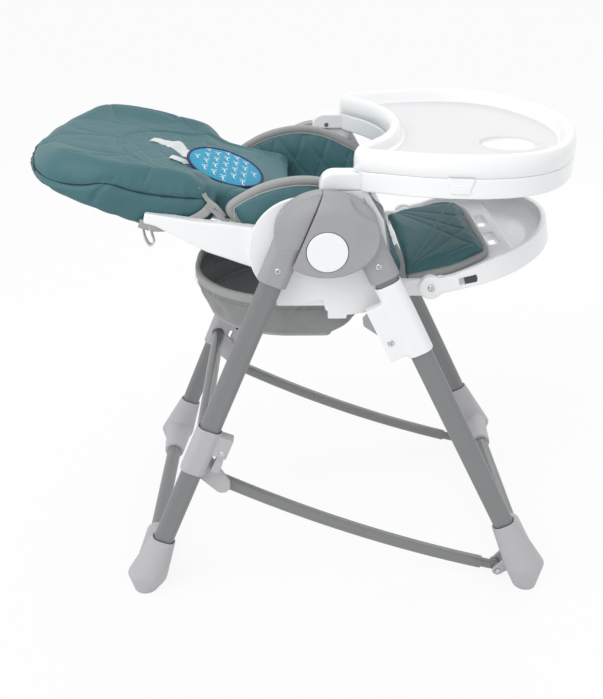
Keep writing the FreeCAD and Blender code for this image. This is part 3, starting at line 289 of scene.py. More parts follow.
def make_weave_group():
    """Crossing threads: two sets of waves on Object coordinates, one over the other in turn."""
    group, given, result = new_group(
        "thread_weave",
        [("Threads per Metre", "Float", 900.0), ("Colour", "Color", (1, 1, 1, 1)),
         ("Thread Shade", "Float", 0.16)],
        [("Colour", "Color"), ("Height", "Float")])
    place = group.nodes.new("ShaderNodeTexCoord")
    axes = group.nodes.new("ShaderNodeSeparateXYZ")
    group.links.new(place.outputs["Object"], axes.inputs[0])
    along = math_node(group, "ADD", axes.outputs["X"], axes.outputs["Z"])
    leaning = math_node(group, "MULTIPLY", axes.outputs["Z"], THREAD_LEAN)
    across = math_node(group, "ADD", axes.outputs["Y"], leaning)
    waves = []
    for direction in (along, across):
        phase = math_node(group, "MULTIPLY", direction, given.outputs["Threads per Metre"])
        waves.append(math_node(group, "SINE", math_node(group, "MULTIPLY", phase, pi)))
    crossing = math_node(group, "MULTIPLY", waves[0], waves[1])
    height = math_node(group, "ABSOLUTE", crossing)
    group.links.new(height, result.inputs["Height"])
    above_middle = math_node(group, "SUBTRACT", height, MIDDLE_HEIGHT)
    shade = math_node(group, "MULTIPLY", above_middle, given.outputs["Thread Shade"])
    tint = group.nodes.new("ShaderNodeVectorMath")
    tint.operation = "SCALE"
    group.links.new(given.outputs["Colour"], tint.inputs[0])
    group.links.new(math_node(group, "ADD", shade, 1.0), tint.inputs["Scale"])
    group.links.new(tint.outputs[0], result.inputs["Colour"])
    return group


GRAIN = make_grain_group()
WEAVE = make_weave_group()


# %% Finish makers
GRAIN_DEPTH = 0.6 * MM
THREAD_DEPTH = 0.8 * MM


def grained(name, colour, roughness, grain_scale, bump, mottle=0.08, spread=0.08, **sockets):
    """A material with grain; sockets are plain values for the Principled BSDF."""
    finish = bpy.data.materials.new(name)
    finish.use_nodes = True
    tree = finish.node_tree
    shader = tree.nodes["Principled BSDF"]
    grain = tree.nodes.new("ShaderNodeGroup")
    grain.node_tree = GRAIN
    grain.inputs["Grain Scale"].default_value = grain_scale
    grain.inputs["Colour"].default_value = (*colour, 1)
    grain.inputs["Mottle"].default_value = mottle
    grain.inputs["Roughness"].default_value = roughness
    grain.inputs["Roughness Spread"].default_value = spread
    relief = tree.nodes.new("ShaderNodeBump")
    relief.inputs["Strength"].default_value = bump
    relief.inputs["Distance"].default_value = GRAIN_DEPTH
    tree.links.new(grain.outputs["Colour"], shader.inputs["Base Color"])
    tree.links.new(grain.outputs["Roughness"], shader.inputs["Roughness"])
    tree.links.new(grain.outputs["Height"], relief.inputs["Height"])
    tree.links.new(relief.outputs[0], shader.inputs["Normal"])
    for socket, value in sockets.items():
        shader.inputs[socket.replace("_", " ")].default_value = value
    return finish


def woven(name, colour, threads, bump, roughness=0.85, thread_shade=0.16, **sockets):
    finish = bpy.data.materials.new(name)
    finish.use_nodes = True
    tree = finish.node_tree
    shader = tree.nodes["Principled BSDF"]
    weave = tree.nodes.new("ShaderNodeGroup")
    weave.node_tree = WEAVE
    weave.inputs["Threads per Metre"].default_value = threads
    weave.inputs["Colour"].default_value = (*colour, 1)
    weave.inputs["Thread Shade"].default_value = thread_shade
    relief = tree.nodes.new("ShaderNodeBump")
    relief.inputs["Strength"].default_value = bump
    relief.inputs["Distance"].default_value = THREAD_DEPTH
    tree.links.new(weave.outputs["Colour"], shader.inputs["Base Color"])
    tree.links.new(weave.outputs["Height"], relief.inputs["Height"])
    tree.links.new(relief.outputs[0], shader.inputs["Normal"])
    shader.inputs["Roughness"].default_value = roughness
    for socket, value in sockets.items():
        shader.inputs[socket.replace("_", " ")].default_value = value
    return finish


# %% The chair's finishes
TUBE_PAINT = grained("grey_tube_paint", (0.225, 0.228, 0.23), 0.38, 700, 0.08, mottle=0.1, Metallic=0.3)
BRIGHT_TUBE = grained("bright_tube", (0.2, 0.205, 0.21), 0.26, 500, 0.04, Metallic=0.85)
HUB_PLASTIC = grained("hub_plastic", (0.36, 0.36, 0.37), 0.48, 1400, 0.22, mottle=0.06)
FOOT_PLASTIC = grained("foot_plastic", (0.48, 0.475, 0.49), 0.5, 1400, 0.22, mottle=0.06)
WHITE_PLASTIC = grained("white_plastic", (0.9, 0.9, 0.905), 0.3, 1600, 0.05, mottle=0.03,
                        Coat_Weight=0.25)
TRAY_WHITE = grained("tray_white", (0.92, 0.92, 0.92), 0.22, 900, 0.03, mottle=0.02, Coat_Weight=0.4)
# A greyer white than TRAY_WHITE, with a rougher surface, for the tray's sunken floor.
TRAY_FLOOR = grained("tray_floor_satin", (0.76, 0.75, 0.755), 0.55, 1500, 0.3, mottle=0.02)
DARK_PLASTIC = grained("dark_plastic", (0.045, 0.05, 0.065), 0.4, 1400, 0.2)
SCREW_STEEL = grained("screw_steel", (0.6, 0.6, 0.6), 0.22, 600, 0.1, Metallic=1.0)
LEATHERETTE = grained("teal_leatherette", (0.057, 0.152, 0.168), 0.52, 520, 0.3, mottle=0.16,
                      Specular_IOR_Level=0.32)
BINDING = grained("grey_binding", (0.37, 0.37, 0.365), 0.6, 700, 0.4, mottle=0.1, Sheen_Weight=0.1)
BASKET_CLOTH = woven("basket_cloth", (0.27, 0.275, 0.275), 700, 0.35, roughness=0.75, Sheen_Weight=0.2)
WEBBING = woven("white_webbing", (0.82, 0.82, 0.82), 520, 0.7, roughness=0.8)
PRINT_BLUE = woven("print_blue", (0.02, 0.31, 0.5), 900, 0.25, roughness=0.7)
PIPING_NAVY = woven("navy_piping", (0.012, 0.012, 0.09), 900, 0.4, roughness=0.6)
PRINT_WHITE = woven("print_white", (0.85, 0.9, 0.92), 900, 0.2, roughness=0.7)
PALE_THREAD = woven("pale_thread", (0.42, 0.55, 0.55), 1800, 0.5, roughness=0.7)
GREY_THREAD = woven("grey_thread", (0.6, 0.6, 0.58), 1800, 0.5, roughness=0.7)
# Painted shade: a near-black teal for the strip laid along the backrest cover's side seams, in place of
# the shade in the crease there; it is no thread.
PAINTED_CREASE_SHADE = woven("crease_thread", (0.012, 0.035, 0.04), 1800, 0.5, roughness=0.8)
DARK_THREAD = woven("dark_thread", (0.12, 0.12, 0.12), 1800, 0.5, roughness=0.7)
print("finishes:", len(bpy.data.materials))

# %% [markdown]
# ## Softening moulded parts
# Injection-moulded plastic has no sharp edges: the tool's corners are rounded by a millimetre or
# two.  A bevel could do this, but it stumbles where many curved cuts meet.  Here a copy of each
# part is rebuilt on a fine voxel grid and relaxed a few rounds, which rounds every edge alike, and
# then thinned, because its flat stretches need few faces.  A part may bring its own shaping step,
# such as the dome of a hub cover.
# %% Mesh helpers
def make_object(name, points, faces):
    mesh = bpy.data.meshes.new(name)
    mesh.from_pydata([tuple(map(float, p)) for p in points], [], [tuple(map(int, f)) for f in faces])
    mesh.update()
    piece = bpy.data.objects.new(name, mesh)
    bpy.context.scene.collection.objects.link(piece)
    return piece


def points_of(piece):
    points = np.zeros(len(piece.data.vertices) * 3)
    piece.data.vertices.foreach_get("co", points)
    return points.reshape(-1, 3)


def set_points(piece, points):
    piece.data.vertices.foreach_set("co", np.asarray(points, float).ravel())
    piece.data.update()


def smooth_shaded(piece, smooth=True):
    piece.data.polygons.foreach_set("use_smooth", [smooth] * len(piece.data.polygons))
    piece.data.update()


def apply_modifiers(piece):
    bpy.context.view_layer.update()
    shaped = bpy.data.meshes.new_from_object(piece.evaluated_get(bpy.context.evaluated_depsgraph_get()))
    piece.modifiers.clear()
    old = piece.data
    piece.data = shaped
    bpy.data.meshes.remove(old)
    shaped.name = piece.name


def outward(piece, merge=0.00001):
    """Merges doubles and turns all faces outwards."""
    work = bmesh.new()
    work.from_mesh(piece.data)
    bmesh.ops.remove_doubles(work, verts=work.verts, dist=merge)
    bmesh.ops.recalc_face_normals(work, faces=work.faces)
    work.to_mesh(piece.data)
    work.free()


def joined(name, pieces):
    """One mesh from several; the pieces go."""
    points, faces, start = [], [], 0
    for piece in pieces:
        points.extend(v.co[:] for v in piece.data.vertices)
        faces.extend([start + v for v in face.vertices] for face in piece.data.polygons)
        start = len(points)
        bpy.data.objects.remove(piece)
    return make_object(name, points, faces)


def cad_copy(name, nodes):
    """A merged copy of some CAD nodes, in the chair's frame."""
    points, faces, start = [], [], 0
    for node in nodes:
        mesh = NODES[node].data
        points.extend(v.co[:] for v in mesh.vertices)
        faces.extend([start + v for v in face.vertices] for face in mesh.polygons)
        start = len(points)
    piece = make_object(name, points, faces)
    work = bmesh.new()
    work.from_mesh(piece.data)
    bmesh.ops.remove_doubles(work, verts=work.verts, dist=0.000002)
    work.to_mesh(piece.data)
    work.free()
    return piece


def paint(piece, finish):
    piece.data.materials.clear()
    piece.data.materials.append(finish)


def settle(piece, finish, body, nodes=()):
    """The last step for every piece: finish, body and what it stands for."""
    paint(piece, finish)
    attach(piece, body)
    if nodes:
        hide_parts(*nodes)
    return piece


def mirrored_copy(piece, name):
    mesh = piece.data.copy()
    twin = bpy.data.objects.new(name, mesh)
    bpy.context.scene.collection.objects.link(twin)
    points = points_of(twin)
    points[:, 1] *= -1
    mesh.flip_normals()
    set_points(twin, points)
    return twin


def smoothstep(low, high, value):
    share = np.clip((value - low) / (high - low), 0, 1)
    return share * share * (3 - 2 * share)


# %% Voxel rounding
def rounded(piece, voxel, rounds):
    """Rebuilds a piece on a voxel grid and relaxes it, which rounds every edge alike."""
    remesh = piece.modifiers.new("voxels", "REMESH")
    remesh.mode = "VOXEL"
    remesh.voxel_size = voxel * MM
    relax = piece.modifiers.new("relax", "SMOOTH")
    relax.factor = 0.5
    relax.iterations = rounds
    apply_modifiers(piece)


def moulded(name, nodes, voxel=1.2, rounds=8, keep=0.35, shape=None, extra=()):
    """A rounded copy of some nodes and extra pieces; keep is the share of faces that stays."""
    piece = joined(name, [cad_copy(name + "_copy", nodes), *extra])
    rounded(piece, voxel, rounds)
    if shape:
        set_points(piece, shape(points_of(piece)))
    thin = piece.modifiers.new("thin", "DECIMATE")
    thin.ratio = keep
    apply_modifiers(piece)
    smooth_shaded(piece)
    return piece


def moulded_pair(part, bodies, slot, finish, **settings):
    """The left piece from its node, and the right one as its mirror image."""
    left = moulded("moulded_" + part + "_left", [part + "_left"], **settings)
    right = mirrored_copy(left, "moulded_" + part + "_right")
    for piece, side, body in ((left, "_left", bodies[0]), (right, "_right", bodies[-1])):
        settle(piece, finish, body, [part + side])
    print(part, len(left.data.polygons), "faces")
    return left, right


# %% [markdown]
# ## Tubes, screws and other plain metal
# The painted tubes and the turned pins already have their true shape in the frame, so they keep it
# and get their finish.
# %% Finishes on the frame's own nodes
KEPT_NODES = {
    TUBE_PAINT: ["front_leg_left", "front_leg_right", "rear_leg_left", "rear_leg_right",
                 "front_cross_tube", "rear_cross_tube", "side_stay_left", "side_stay_right"],
    BRIGHT_TUBE: ["clamp_cross_tube"],
    SCREW_STEEL: ["hub_bolts", "stay_pins", "recline_pins", "basket_hoop"],
    WHITE_PLASTIC: ["hub_button_left", "hub_button_right"],
    DARK_PLASTIC: ["footrest_button_left", "footrest_button_right"],
}
for finish, kept in KEPT_NODES.items():
    for node in kept:
        paint(NODES[node], finish)
        smooth_shaded(NODES[node], False)

# %% [markdown]
# ## Hubs
# The hub cover is a shallow dome that falls away towards its top edge, with a hollow facet cut
# into its upper front.  Both come from one rule: the skin is pressed inwards by an amount that
# depends on how near a point is to the cover's oval edge.
# %% Hub covers
COVER_HALF_LENGTH = 84 * MM
COVER_HALF_HEIGHT = 67 * MM
COVER_RISE = 22 * MM
COVER_FACE = 286 * MM
SLEEVE_INNER = 244.7 * MM
WELL_FOOT = 30.8 * MM
WELL_WALL = 33.7 * MM
WELL_DEPTH = 12 * MM
DOME_DROP = 5 * MM
TOP_DROP = 9 * MM
FACET_DROP = 7 * MM
FACET_ANGLE = radians(38)
FACET_SPREAD = radians(24)


def dome_of_hub(points):
    x = points[:, 0] - HUB.x
    z = points[:, 2] - HUB.z - COVER_RISE
    edge = np.hypot(x / COVER_HALF_LENGTH, z / COVER_HALF_HEIGHT)
    above = smoothstep(-COVER_RISE - 8 * MM, 8 * MM, z)
    drop = DOME_DROP * smoothstep(0.5, 1.0, edge) * above
    drop += TOP_DROP * smoothstep(0.62, 1.02, edge) * smoothstep(0, COVER_HALF_HEIGHT, z)
    angle = np.arctan2(z, x)
    facet_edge = 0.8 + 0.2 * ((angle - FACET_ANGLE) / FACET_SPREAD) ** 2
    drop += FACET_DROP * smoothstep(0, 0.035, edge - facet_edge) * above
    depth = COVER_FACE - SLEEVE_INNER
    side = np.sign(points[:, 1])
    inward = (np.abs(points[:, 1]) - SLEEVE_INNER) * np.clip(1 - drop / depth, 0.3, 1)
    shaped = points.copy()
    outer = np.abs(points[:, 1]) > SLEEVE_INNER
    shaped[outer, 1] = side[outer] * (SLEEVE_INNER + inward[outer])
    from_axis = np.hypot(x, points[:, 2] - HUB.z)
    in_wall = (from_axis > WELL_FOOT) & (from_axis < WELL_WALL)
    well = in_wall & (np.abs(points[:, 1]) > COVER_FACE - WELL_DEPTH)
    widen = (WELL_WALL / np.maximum(from_axis, 1e-6))[well]
    shaped[well, 0] = HUB.x + x[well] * widen
    shaped[well, 2] = HUB.z + (points[well, 2] - HUB.z) * widen
    return shaped


moulded_pair("hub_front", ["front_frame"], "hub_grey", HUB_PLASTIC, voxel=1.0, rounds=5, keep=0.4,
             shape=dome_of_hub)
moulded_pair("hub_rear", ["rear_frame"], "hub_grey", HUB_PLASTIC, voxel=1.1, rounds=6, keep=0.4,
             shape=dome_of_hub)

# %% [markdown]
# ## Feet
# Each foot is one smooth boot: an oval ring takes the leg, swells into the heel, narrows to a flat
# sole and turns inwards to a round socket for the cross tube.  The skin stretched round a ring, a
# ball and the sole, their convex hull, has just that swelling, and the voxel step melts it
# together with the lug from the frame.  The ring's top is pressed down round the leg, which
# leaves the pale lip of the real foot.
# %% Feet
FRONT_RING = 636 * MM
REAR_RING = 643 * MM
HEEL_BELOW_FRONT_RING = 100 * MM
HEEL_BELOW_REAR_RING = 82 * MM
FRONT_OFFSET = 61 * MM
REAR_OFFSET = -59 * MM
LEG_PLANE = 260 * MM
LEG_HALF = (19 * MM, 11 * MM)
SOCKET_END = 146 * MM
SOLE_RADIUS = 22 * MM
SHOE_RADIUS = 34 * MM
NECK_HALF = (23 * MM, 15 * MM)
HEEL_BALL = 31 * MM
SOCKET_RADIUS = 21 * MM
SOCKET_ABOVE_HEEL = 6 * MM
INSTEP_INSET = 2 * MM
ROUND = np.linspace(0, 2 * pi, 48, endpoint=False)
UNIT_RING = np.column_stack([np.cos(ROUND), np.sin(ROUND)])


def hull(name, clouds):
    """The tight skin round some groups of points."""
    mesh = bmesh.new()
    for point in np.vstack(clouds):
        mesh.verts.new(point)
    bmesh.ops.convex_hull(mesh, input=mesh.verts)
    loose = [v for v in mesh.verts if not v.link_faces]
    bmesh.ops.delete(mesh, geom=loose, context="VERTS")
    mesh.verts.index_update()
    points = [v.co[:] for v in mesh.verts]
    faces = [tuple(v.index for v in f.verts) for f in mesh.faces]
    mesh.free()
    piece = make_object(name, points, faces)
    outward(piece)
    return piece


def ball(centre, radius):
    """Points all over a sphere."""
    rings = [np.column_stack([cos(rise) * UNIT_RING, np.full(len(ROUND), sin(rise))])
             for rise in np.linspace(-pi / 2, pi / 2, 25)]
    return centre + radius * np.vstack(rings)


def boot(place, offset, ring, heel_drop, toe):
    """The shoe from its leg ring to its sole, and the neck that turns to the cross tube."""
    neck = np.column_stack([UNIT_RING * NECK_HALF + (offset, LEG_PLANE), np.full(len(ROUND), -ring)])
    heel = place(np.array([[offset, LEG_PLANE, -ring - heel_drop]]))[0]
    flat = np.column_stack([UNIT_RING, np.zeros(len(ROUND))])
    sole = np.array([heel[0] + toe, LEG_PLANE, 0]) + SOLE_RADIUS * flat
    instep = np.array([heel[0] + toe, LEG_PLANE, heel[2]]) + (SHOE_RADIUS - INSTEP_INSET) * flat
    socket = np.column_stack([heel[0] + SOCKET_RADIUS * np.cos(ROUND), np.full(len(ROUND), SOCKET_END),
                              heel[2] + SOCKET_ABOVE_HEEL + SOCKET_RADIUS * np.sin(ROUND)])
    return [hull("shoe", [place(neck), ball(heel, SHOE_RADIUS), sole, instep]),
            hull("turn", [ball(heel, HEEL_BALL), socket])]


LIP_REACH = 1.5 * MM
LIP_ABOVE = 2 * MM
LIP_PRESS = 4 * MM


def leg_lip(lean, offset, ring):
    """Presses the top of a sleeve down round its leg."""
    def shape(points):
        local = turned(points - np.array([HUB.x, 0, HUB.z]), -lean, (0, 0, 0))
        x = np.abs(local[:, 0] - offset)
        y = np.abs(np.abs(local[:, 1]) - LEG_PLANE)
        core = np.maximum(x - (LEG_HALF[0] - LEG_HALF[1]), 0)
        out = np.hypot(core, y)
        top = local[:, 2] > -ring - LIP_ABOVE
        press = top & (out < LEG_HALF[1] + LIP_REACH)
        local[press, 2] -= LIP_PRESS
        return turned(local, lean, (HUB.x, 0, HUB.z))
    return shape


moulded_pair("front_foot", ["front_frame"], "light_grey", FOOT_PLASTIC, voxel=1.3, rounds=7, keep=0.3,
             shape=leg_lip(-FRONT_LEAN, FRONT_OFFSET, FRONT_RING),
             extra=boot(to_front_leg, FRONT_OFFSET, FRONT_RING, HEEL_BELOW_FRONT_RING, 10 * MM))
moulded_pair("rear_foot", ["rear_frame"], "light_grey", FOOT_PLASTIC, voxel=1.3, rounds=7, keep=0.3,
             shape=leg_lip(REAR_LEAN, REAR_OFFSET, REAR_RING),
             extra=boot(to_rear_leg, REAR_OFFSET, REAR_RING, HEEL_BELOW_REAR_RING, -10 * MM))

# %% [markdown]
# ## Clamps, sliders, levers, panels and armrests
# These keep the shape that their work gives them, with rounded edges.
# %% Small moulded parts
CLAMP_TOP = 385 * MM
moulded_pair("stay_clamp", ["rear_frame"], "light_grey", FOOT_PLASTIC, voxel=1.0, rounds=7,
             shape=leg_lip(REAR_LEAN, REAR_OFFSET, CLAMP_TOP))
moulded_pair("clamp_latch", ["clamp_latch_left", "clamp_latch_right"], "light_grey", FOOT_PLASTIC,
             voxel=0.8, rounds=4)
moulded_pair("height_lever", ["height_lever_left", "height_lever_right"], "hub_grey", HUB_PLASTIC,
             voxel=0.9, rounds=5)
moulded_pair("seat_slider", ["seat"], "white_plastic", WHITE_PLASTIC, voxel=1.1, rounds=7)
moulded_pair("seat_side", ["seat"], "white_plastic", WHITE_PLASTIC, voxel=1.4, rounds=6)
ARM_REAR = -12 * MM
ARM_FOOT = 772.7 * MM
ARM_TOP = 799.7 * MM
ARM_CORNER = 24 * MM


def round_armrest(points):
    """Rounds the rear upper corner of the rail, as the real one is."""
    from_end = np.clip((points[:, 0] - HUB.x - ARM_REAR) / ARM_CORNER, 0, 1)
    drop = ARM_CORNER * (1 - np.sqrt(1 - (1 - from_end) ** 2))
    share = np.clip((points[:, 2] - ARM_FOOT) / (ARM_TOP - ARM_FOOT), 0, 1)
    shaped = points.copy()
    shaped[:, 2] -= drop * share * (points[:, 2] > ARM_FOOT)
    return shaped


moulded_pair("armrest", ["seat"], "white_plastic", WHITE_PLASTIC, voxel=1.3, rounds=8,
             shape=round_armrest)
for part, body, voxel in (("seat_pan", "seat", 2.0), ("back_shell", "backrest", 1.8),
                          ("recline_handle", "recline_handle", 1.3)):
    piece = moulded("moulded_" + part, [part], voxel=voxel, rounds=5)
    settle(piece, WHITE_PLASTIC, body, [part])
buckle = moulded("moulded_buckle", ["buckle"], voxel=0.8, rounds=6)
settle(buckle, DARK_PLASTIC, "seat", ["buckle"])
clips = moulded("moulded_cover_clips", ["cover_clips"], voxel=0.8, rounds=4)
settle(clips, DARK_PLASTIC, "seat", ["cover_clips"])

# %% [markdown]
# ## Outlines
# The tray and the cushions are all drawn from an outline.  A periodic cubic spline carries a
# smooth line through a handful of points, and a constrained triangulation fills it.  The distance
# of a point from the outline then says how high the surface stands there, so a rim or a puffed
# border follows the whole outline, even round a tight lobe where an offset line would cross itself.
# %% Outline helpers
def closed_spline(points, count):
    """A smooth closed line through points, as evenly spaced rows."""
    points = np.asarray(points, float)
    total = len(points)
    span = np.linalg.norm(np.roll(points, -1, axis=0) - points, axis=1)
    system = np.zeros((total, total))
    pull = np.zeros_like(points)
    for k in range(total):
        before = k - 1
        after = (k + 1) % total
        system[k, before] += span[before]
        system[k, k] += 2 * (span[before] + span[k])
        system[k, after] += span[k]
        ahead = (points[after] - points[k]) / span[k]
        pull[k] = 6 * (ahead - (points[k] - points[before]) / span[before])
    bend = np.linalg.solve(system, pull)
    rows = []
    for k in range(total):
        after = (k + 1) % total
        s = np.linspace(0, span[k], 40, endpoint=False)[:, None]
        left = span[k] - s
        rows.append(bend[k] * left ** 3 / (6 * span[k]) + bend[after] * s ** 3 / (6 * span[k])
                    + (points[k] / span[k] - bend[k] * span[k] / 6) * left
                    + (points[after] / span[k] - bend[after] * span[k] / 6) * s)
    return evenly(np.vstack(rows + [rows[0][:1]]), count + 1)[:-1]


def evenly(line, count):
    """The same line with its points evenly spaced by length."""
    line = np.asarray(line, float)
    steps = np.linalg.norm(np.diff(line, axis=0), axis=1)
    along = np.concatenate([[0], np.cumsum(steps)])
    wanted = np.linspace(0, along[-1], count)
    return np.column_stack([np.interp(wanted, along, line[:, k]) for k in range(line.shape[1])])


def both_halves(half):
    """A closed outline from its half at y >= 0; ends on the centre line are not doubled."""
    other = [(x, -y) for x, y in reversed(half) if y > 0]
    return half + other


def inward_normals(line):
    way = np.roll(line, -1, axis=0) - np.roll(line, 1, axis=0)
    way /= np.linalg.norm(way, axis=1)[:, None]
    normals = np.column_stack([way[:, 1], -way[:, 0]])
    turn = np.sum(line[:, 0] * np.roll(line[:, 1], -1) - line[:, 1] * np.roll(line[:, 0], -1))
    return normals if turn < 0 else -normals


def distance_to(line, points, closed=True):
    line = np.asarray(line, float)
    points = np.asarray(points, float)
    starts = line if closed else line[:-1]
    ends = np.roll(line, -1, axis=0) if closed else line[1:]
    best = np.full(len(points), np.inf)
    for start, end in zip(starts, ends):
        way = end - start
        away = points - start
        share = np.clip(away @ way / max(way @ way, 1e-14), 0, 1)
        away = away - share[:, None] * way
        best = np.minimum(best, np.sqrt(np.sum(away ** 2, axis=1)))
    return best


def is_inside(line, points):
    crossings = np.zeros(len(points), int)
    for (x0, y0), (x1, y1) in zip(line, np.roll(line, -1, axis=0)):
        between = (points[:, 1] > y0) != (points[:, 1] > y1)
        if y0 != y1:
            crossings += between & (points[:, 0] < (x1 - x0) * (points[:, 1] - y0) / (y1 - y0) + x0)
    return crossings % 2 == 1


def grid_inside(line, spacing, margin):
    """Points of a triangular grid that keep a margin from the outline."""
    low = line.min(axis=0)
    high = line.max(axis=0)
    points = []
    for k, y in enumerate(np.arange(low[1], high[1], spacing * sqrt(3) / 2)):
        row = np.arange(low[0] + (k % 2) * spacing / 2, high[0], spacing)
        points.append(np.column_stack([row, np.full(len(row), y)]))
    points = np.vstack(points)
    points = points[is_inside(line, points)]
    return points[distance_to(line, points) > margin]


def filled(line, inner):
    """Triangles over an outline and loose points inside it."""
    flat = [Vector(p) for p in np.vstack([line, inner])] if len(inner) else [Vector(p) for p in line]
    count = len(line)
    edges = [(k, (k + 1) % count) for k in range(count)]
    result = delaunay_2d_cdt(flat, edges, [], 1, 1e-6)
    return np.array([p[:] for p in result[0]]), [tuple(f) for f in result[2]]


# %% [markdown]
# ## Tray
# The lift-off tray is a thin moulding with a soft raised rim, a sunken satin floor of a greyer white
# than the rim and a cup recess.  Its wall is lofted through the outline, and its top is filled and
# then lifted: a profile gives the height at each distance from the edge, and a second one turns round the
# cup.
# %% Tray top
TRAY_OUTLINE = [(116, 0), (108, 70), (82, 140), (54, 184), (42, 213), (52, 237), (76, 248), (128, 267),
                (186, 280), (258, 282), (328, 260), (378, 210), (416, 132), (436, 55), (440, 0)]
TRAY_WALL_PROFILE = [(3, 803.4), (1, 803.4), (0, 804.5), (0, 818), (0.6, 824), (2.5, 830), (6, 834.8),
                     (8, 836.1), (10.5, 836.8)]
TRAY_TOP_PROFILE = [(10.5, 836.8), (12.5, 836.9), (14.5, 836.6), (16.5, 835.8), (18, 834.5),
                    (19.5, 832.7), (21, 830.5), (22.3, 827.4), (23.5, 824), (24.8, 820.8), (26, 818),
                    (28, 815.9), (30, 814.6), (33, 813.5), (37, 812.9), (46, 812.6), (60, 812.6)]
CUP_PLACE = np.array([310, -104])
CUP_PROFILE = [(0, -6.2), (20, -6.2), (34, -6.1), (41, -5.6), (44, -3.6), (45.6, -0.6), (47, 1.6),
               (49, 2.9), (52, 3.3), (55, 2.9), (58, 1.9), (61, 0.8), (65, 0)]
CUP_RADIUS = 46
TRAY_STEPS = 440
SATIN_FROM = 30.5
SATIN_ABOVE = 806 * MM

tray_line = closed_spline(both_halves(TRAY_OUTLINE), TRAY_STEPS)
tray_in = inward_normals(tray_line)
points, faces = [], []
for inset, height in TRAY_WALL_PROFILE:
    ring = tray_line + tray_in * inset
    points.extend((x, y, height) for x, y in ring)
for level in range(len(TRAY_WALL_PROFILE) - 1):
    for k in range(TRAY_STEPS):
        a = level * TRAY_STEPS + k
        b = level * TRAY_STEPS + (k + 1) % TRAY_STEPS
        faces.append((a, b, b + TRAY_STEPS, a + TRAY_STEPS))
edge_line = tray_line + tray_in * TRAY_TOP_PROFILE[0][0]
inner = []
for inset, _ in TRAY_TOP_PROFILE[1:]:
    ring = tray_line + tray_in * inset
    inner.append(ring[distance_to(tray_line, ring) > inset - 0.4])
floor_grid = grid_inside(tray_line, 14, TRAY_TOP_PROFILE[-1][0] + 8)
floor_grid = floor_grid[np.linalg.norm(floor_grid - CUP_PLACE, axis=1) > CUP_PROFILE[-1][0] + 4]
inner.append(floor_grid)
turn = np.linspace(0, 2 * pi, 96, endpoint=False)
for radius, _ in CUP_PROFILE[1:]:
    inner.append(CUP_PLACE + radius * np.column_stack([np.cos(turn), np.sin(turn)]))
flat, top_faces = filled(edge_line, np.vstack(inner))
depth = distance_to(tray_line, flat)
height = np.interp(depth, *zip(*TRAY_TOP_PROFILE))
height += np.interp(np.linalg.norm(flat - CUP_PLACE, axis=1), *zip(*CUP_PROFILE))
start = len(points)
points.extend((x, y, z) for (x, y), z in zip(flat, height))
faces.extend(tuple(start + v for v in f) for f in top_faces)
under, under_faces = filled(tray_line + tray_in * TRAY_WALL_PROFILE[0][0], [])
start_under = len(points)
points.extend((x, y, TRAY_WALL_PROFILE[0][1]) for x, y in under)
faces.extend(tuple(start_under + v for v in reversed(f)) for f in under_faces)
tray_top = make_object("tray_shell", to_chair(np.array(points) * MM), faces)
outward(tray_top, 0.00002)
smooth_shaded(tray_top)
settle(tray_top, TRAY_WHITE, "tray", ["tray_top"])
tray_top.data.materials.append(TRAY_FLOOR)
centres = np.array([face.center[:] for face in tray_top.data.polygons])
upwards = np.array([face.normal.z > 0.2 for face in tray_top.data.polygons])
plan = np.column_stack([centres[:, 0] - HUB.x, centres[:, 1]]) / MM
in_cup = np.linalg.norm(plan - CUP_PLACE, axis=1) < CUP_RADIUS
on_top = upwards & (centres[:, 2] > SATIN_ABOVE)
satin = on_top & ~in_cup & (distance_to(tray_line, plan) > SATIN_FROM)
tray_top.data.polygons.foreach_set("material_index", satin.astype(int))
print("tray:", len(tray_top.data.polygons), "faces")


# %% Catches of the tray
# Each side has a tab that reaches down over the carrier, with three ridges for the thumb.
CATCH_FROM, CATCH_TO = 180, 222
CATCH_TOP, CATCH_LOW = 804.5, 778.5
CATCH_COLUMNS, CATCH_ROWS = 36, 30


def tray_catch(side):
    """A tab that bulges out of the tray's side and narrows towards its foot."""
    near = tray_line[(tray_line[:, 0] > CATCH_FROM - 20) & (tray_line[:, 0] < CATCH_TO + 20)
                     & (tray_line[:, 1] > 0)]
    near = near[np.argsort(near[:, 0])]
    points, faces = [], []
    for row in range(CATCH_ROWS + 1):
        v = row / CATCH_ROWS
        pinch = 5 * smoothstep(0.2, 0.75, v) + 5 * smoothstep(0.8, 1.0, v) ** 2
        for column in range(CATCH_COLUMNS + 1):
            u = column / CATCH_COLUMNS
            x = CATCH_FROM + pinch + u * (CATCH_TO - CATCH_FROM - 2 * pinch)
            y = np.interp(x, near[:, 0], near[:, 1])
            border = min(u, 1 - u, (1 - v) * 0.8) / 0.06
            proud = 2.0 * smoothstep(0, 1, border) - 0.5
            ridge = smoothstep(0.1, 0.2, min(u, 1 - u) - 0.08) * (0.42 < v < 0.9)
            proud += 0.5 * ridge * (0.5 - 0.5 * cos(2 * pi * (v - 0.42) / 0.16))
            z = CATCH_TOP + v * (CATCH_LOW - CATCH_TOP)
            points.append((x, side * (y + proud), z))
    for row in range(CATCH_ROWS):
        for column in range(CATCH_COLUMNS):
            a = row * (CATCH_COLUMNS + 1) + column
            b = a + CATCH_COLUMNS + 1
            faces.append((a, a + 1, b + 1, b) if side < 0 else (a, b, b + 1, a + 1))
    catch = make_object("tray_catch_" + side_name(side), to_chair(np.array(points) * MM), faces)
    thick = catch.modifiers.new("wall", "SOLIDIFY")
    thick.thickness = 0.4 * MM
    thick.offset = -1
    apply_modifiers(catch)
    smooth_shaded(catch)
    settle(catch, TRAY_WHITE, "tray")


for side in (-1, 1):
    tray_catch(side)
carrier = moulded("tray_carrier_shell", ["tray_base"], voxel=1.8, rounds=5, keep=0.3)
settle(carrier, TRAY_WHITE, "tray_carrier", ["tray_base"])
print("carrier:", len(carrier.data.polygons), "faces")

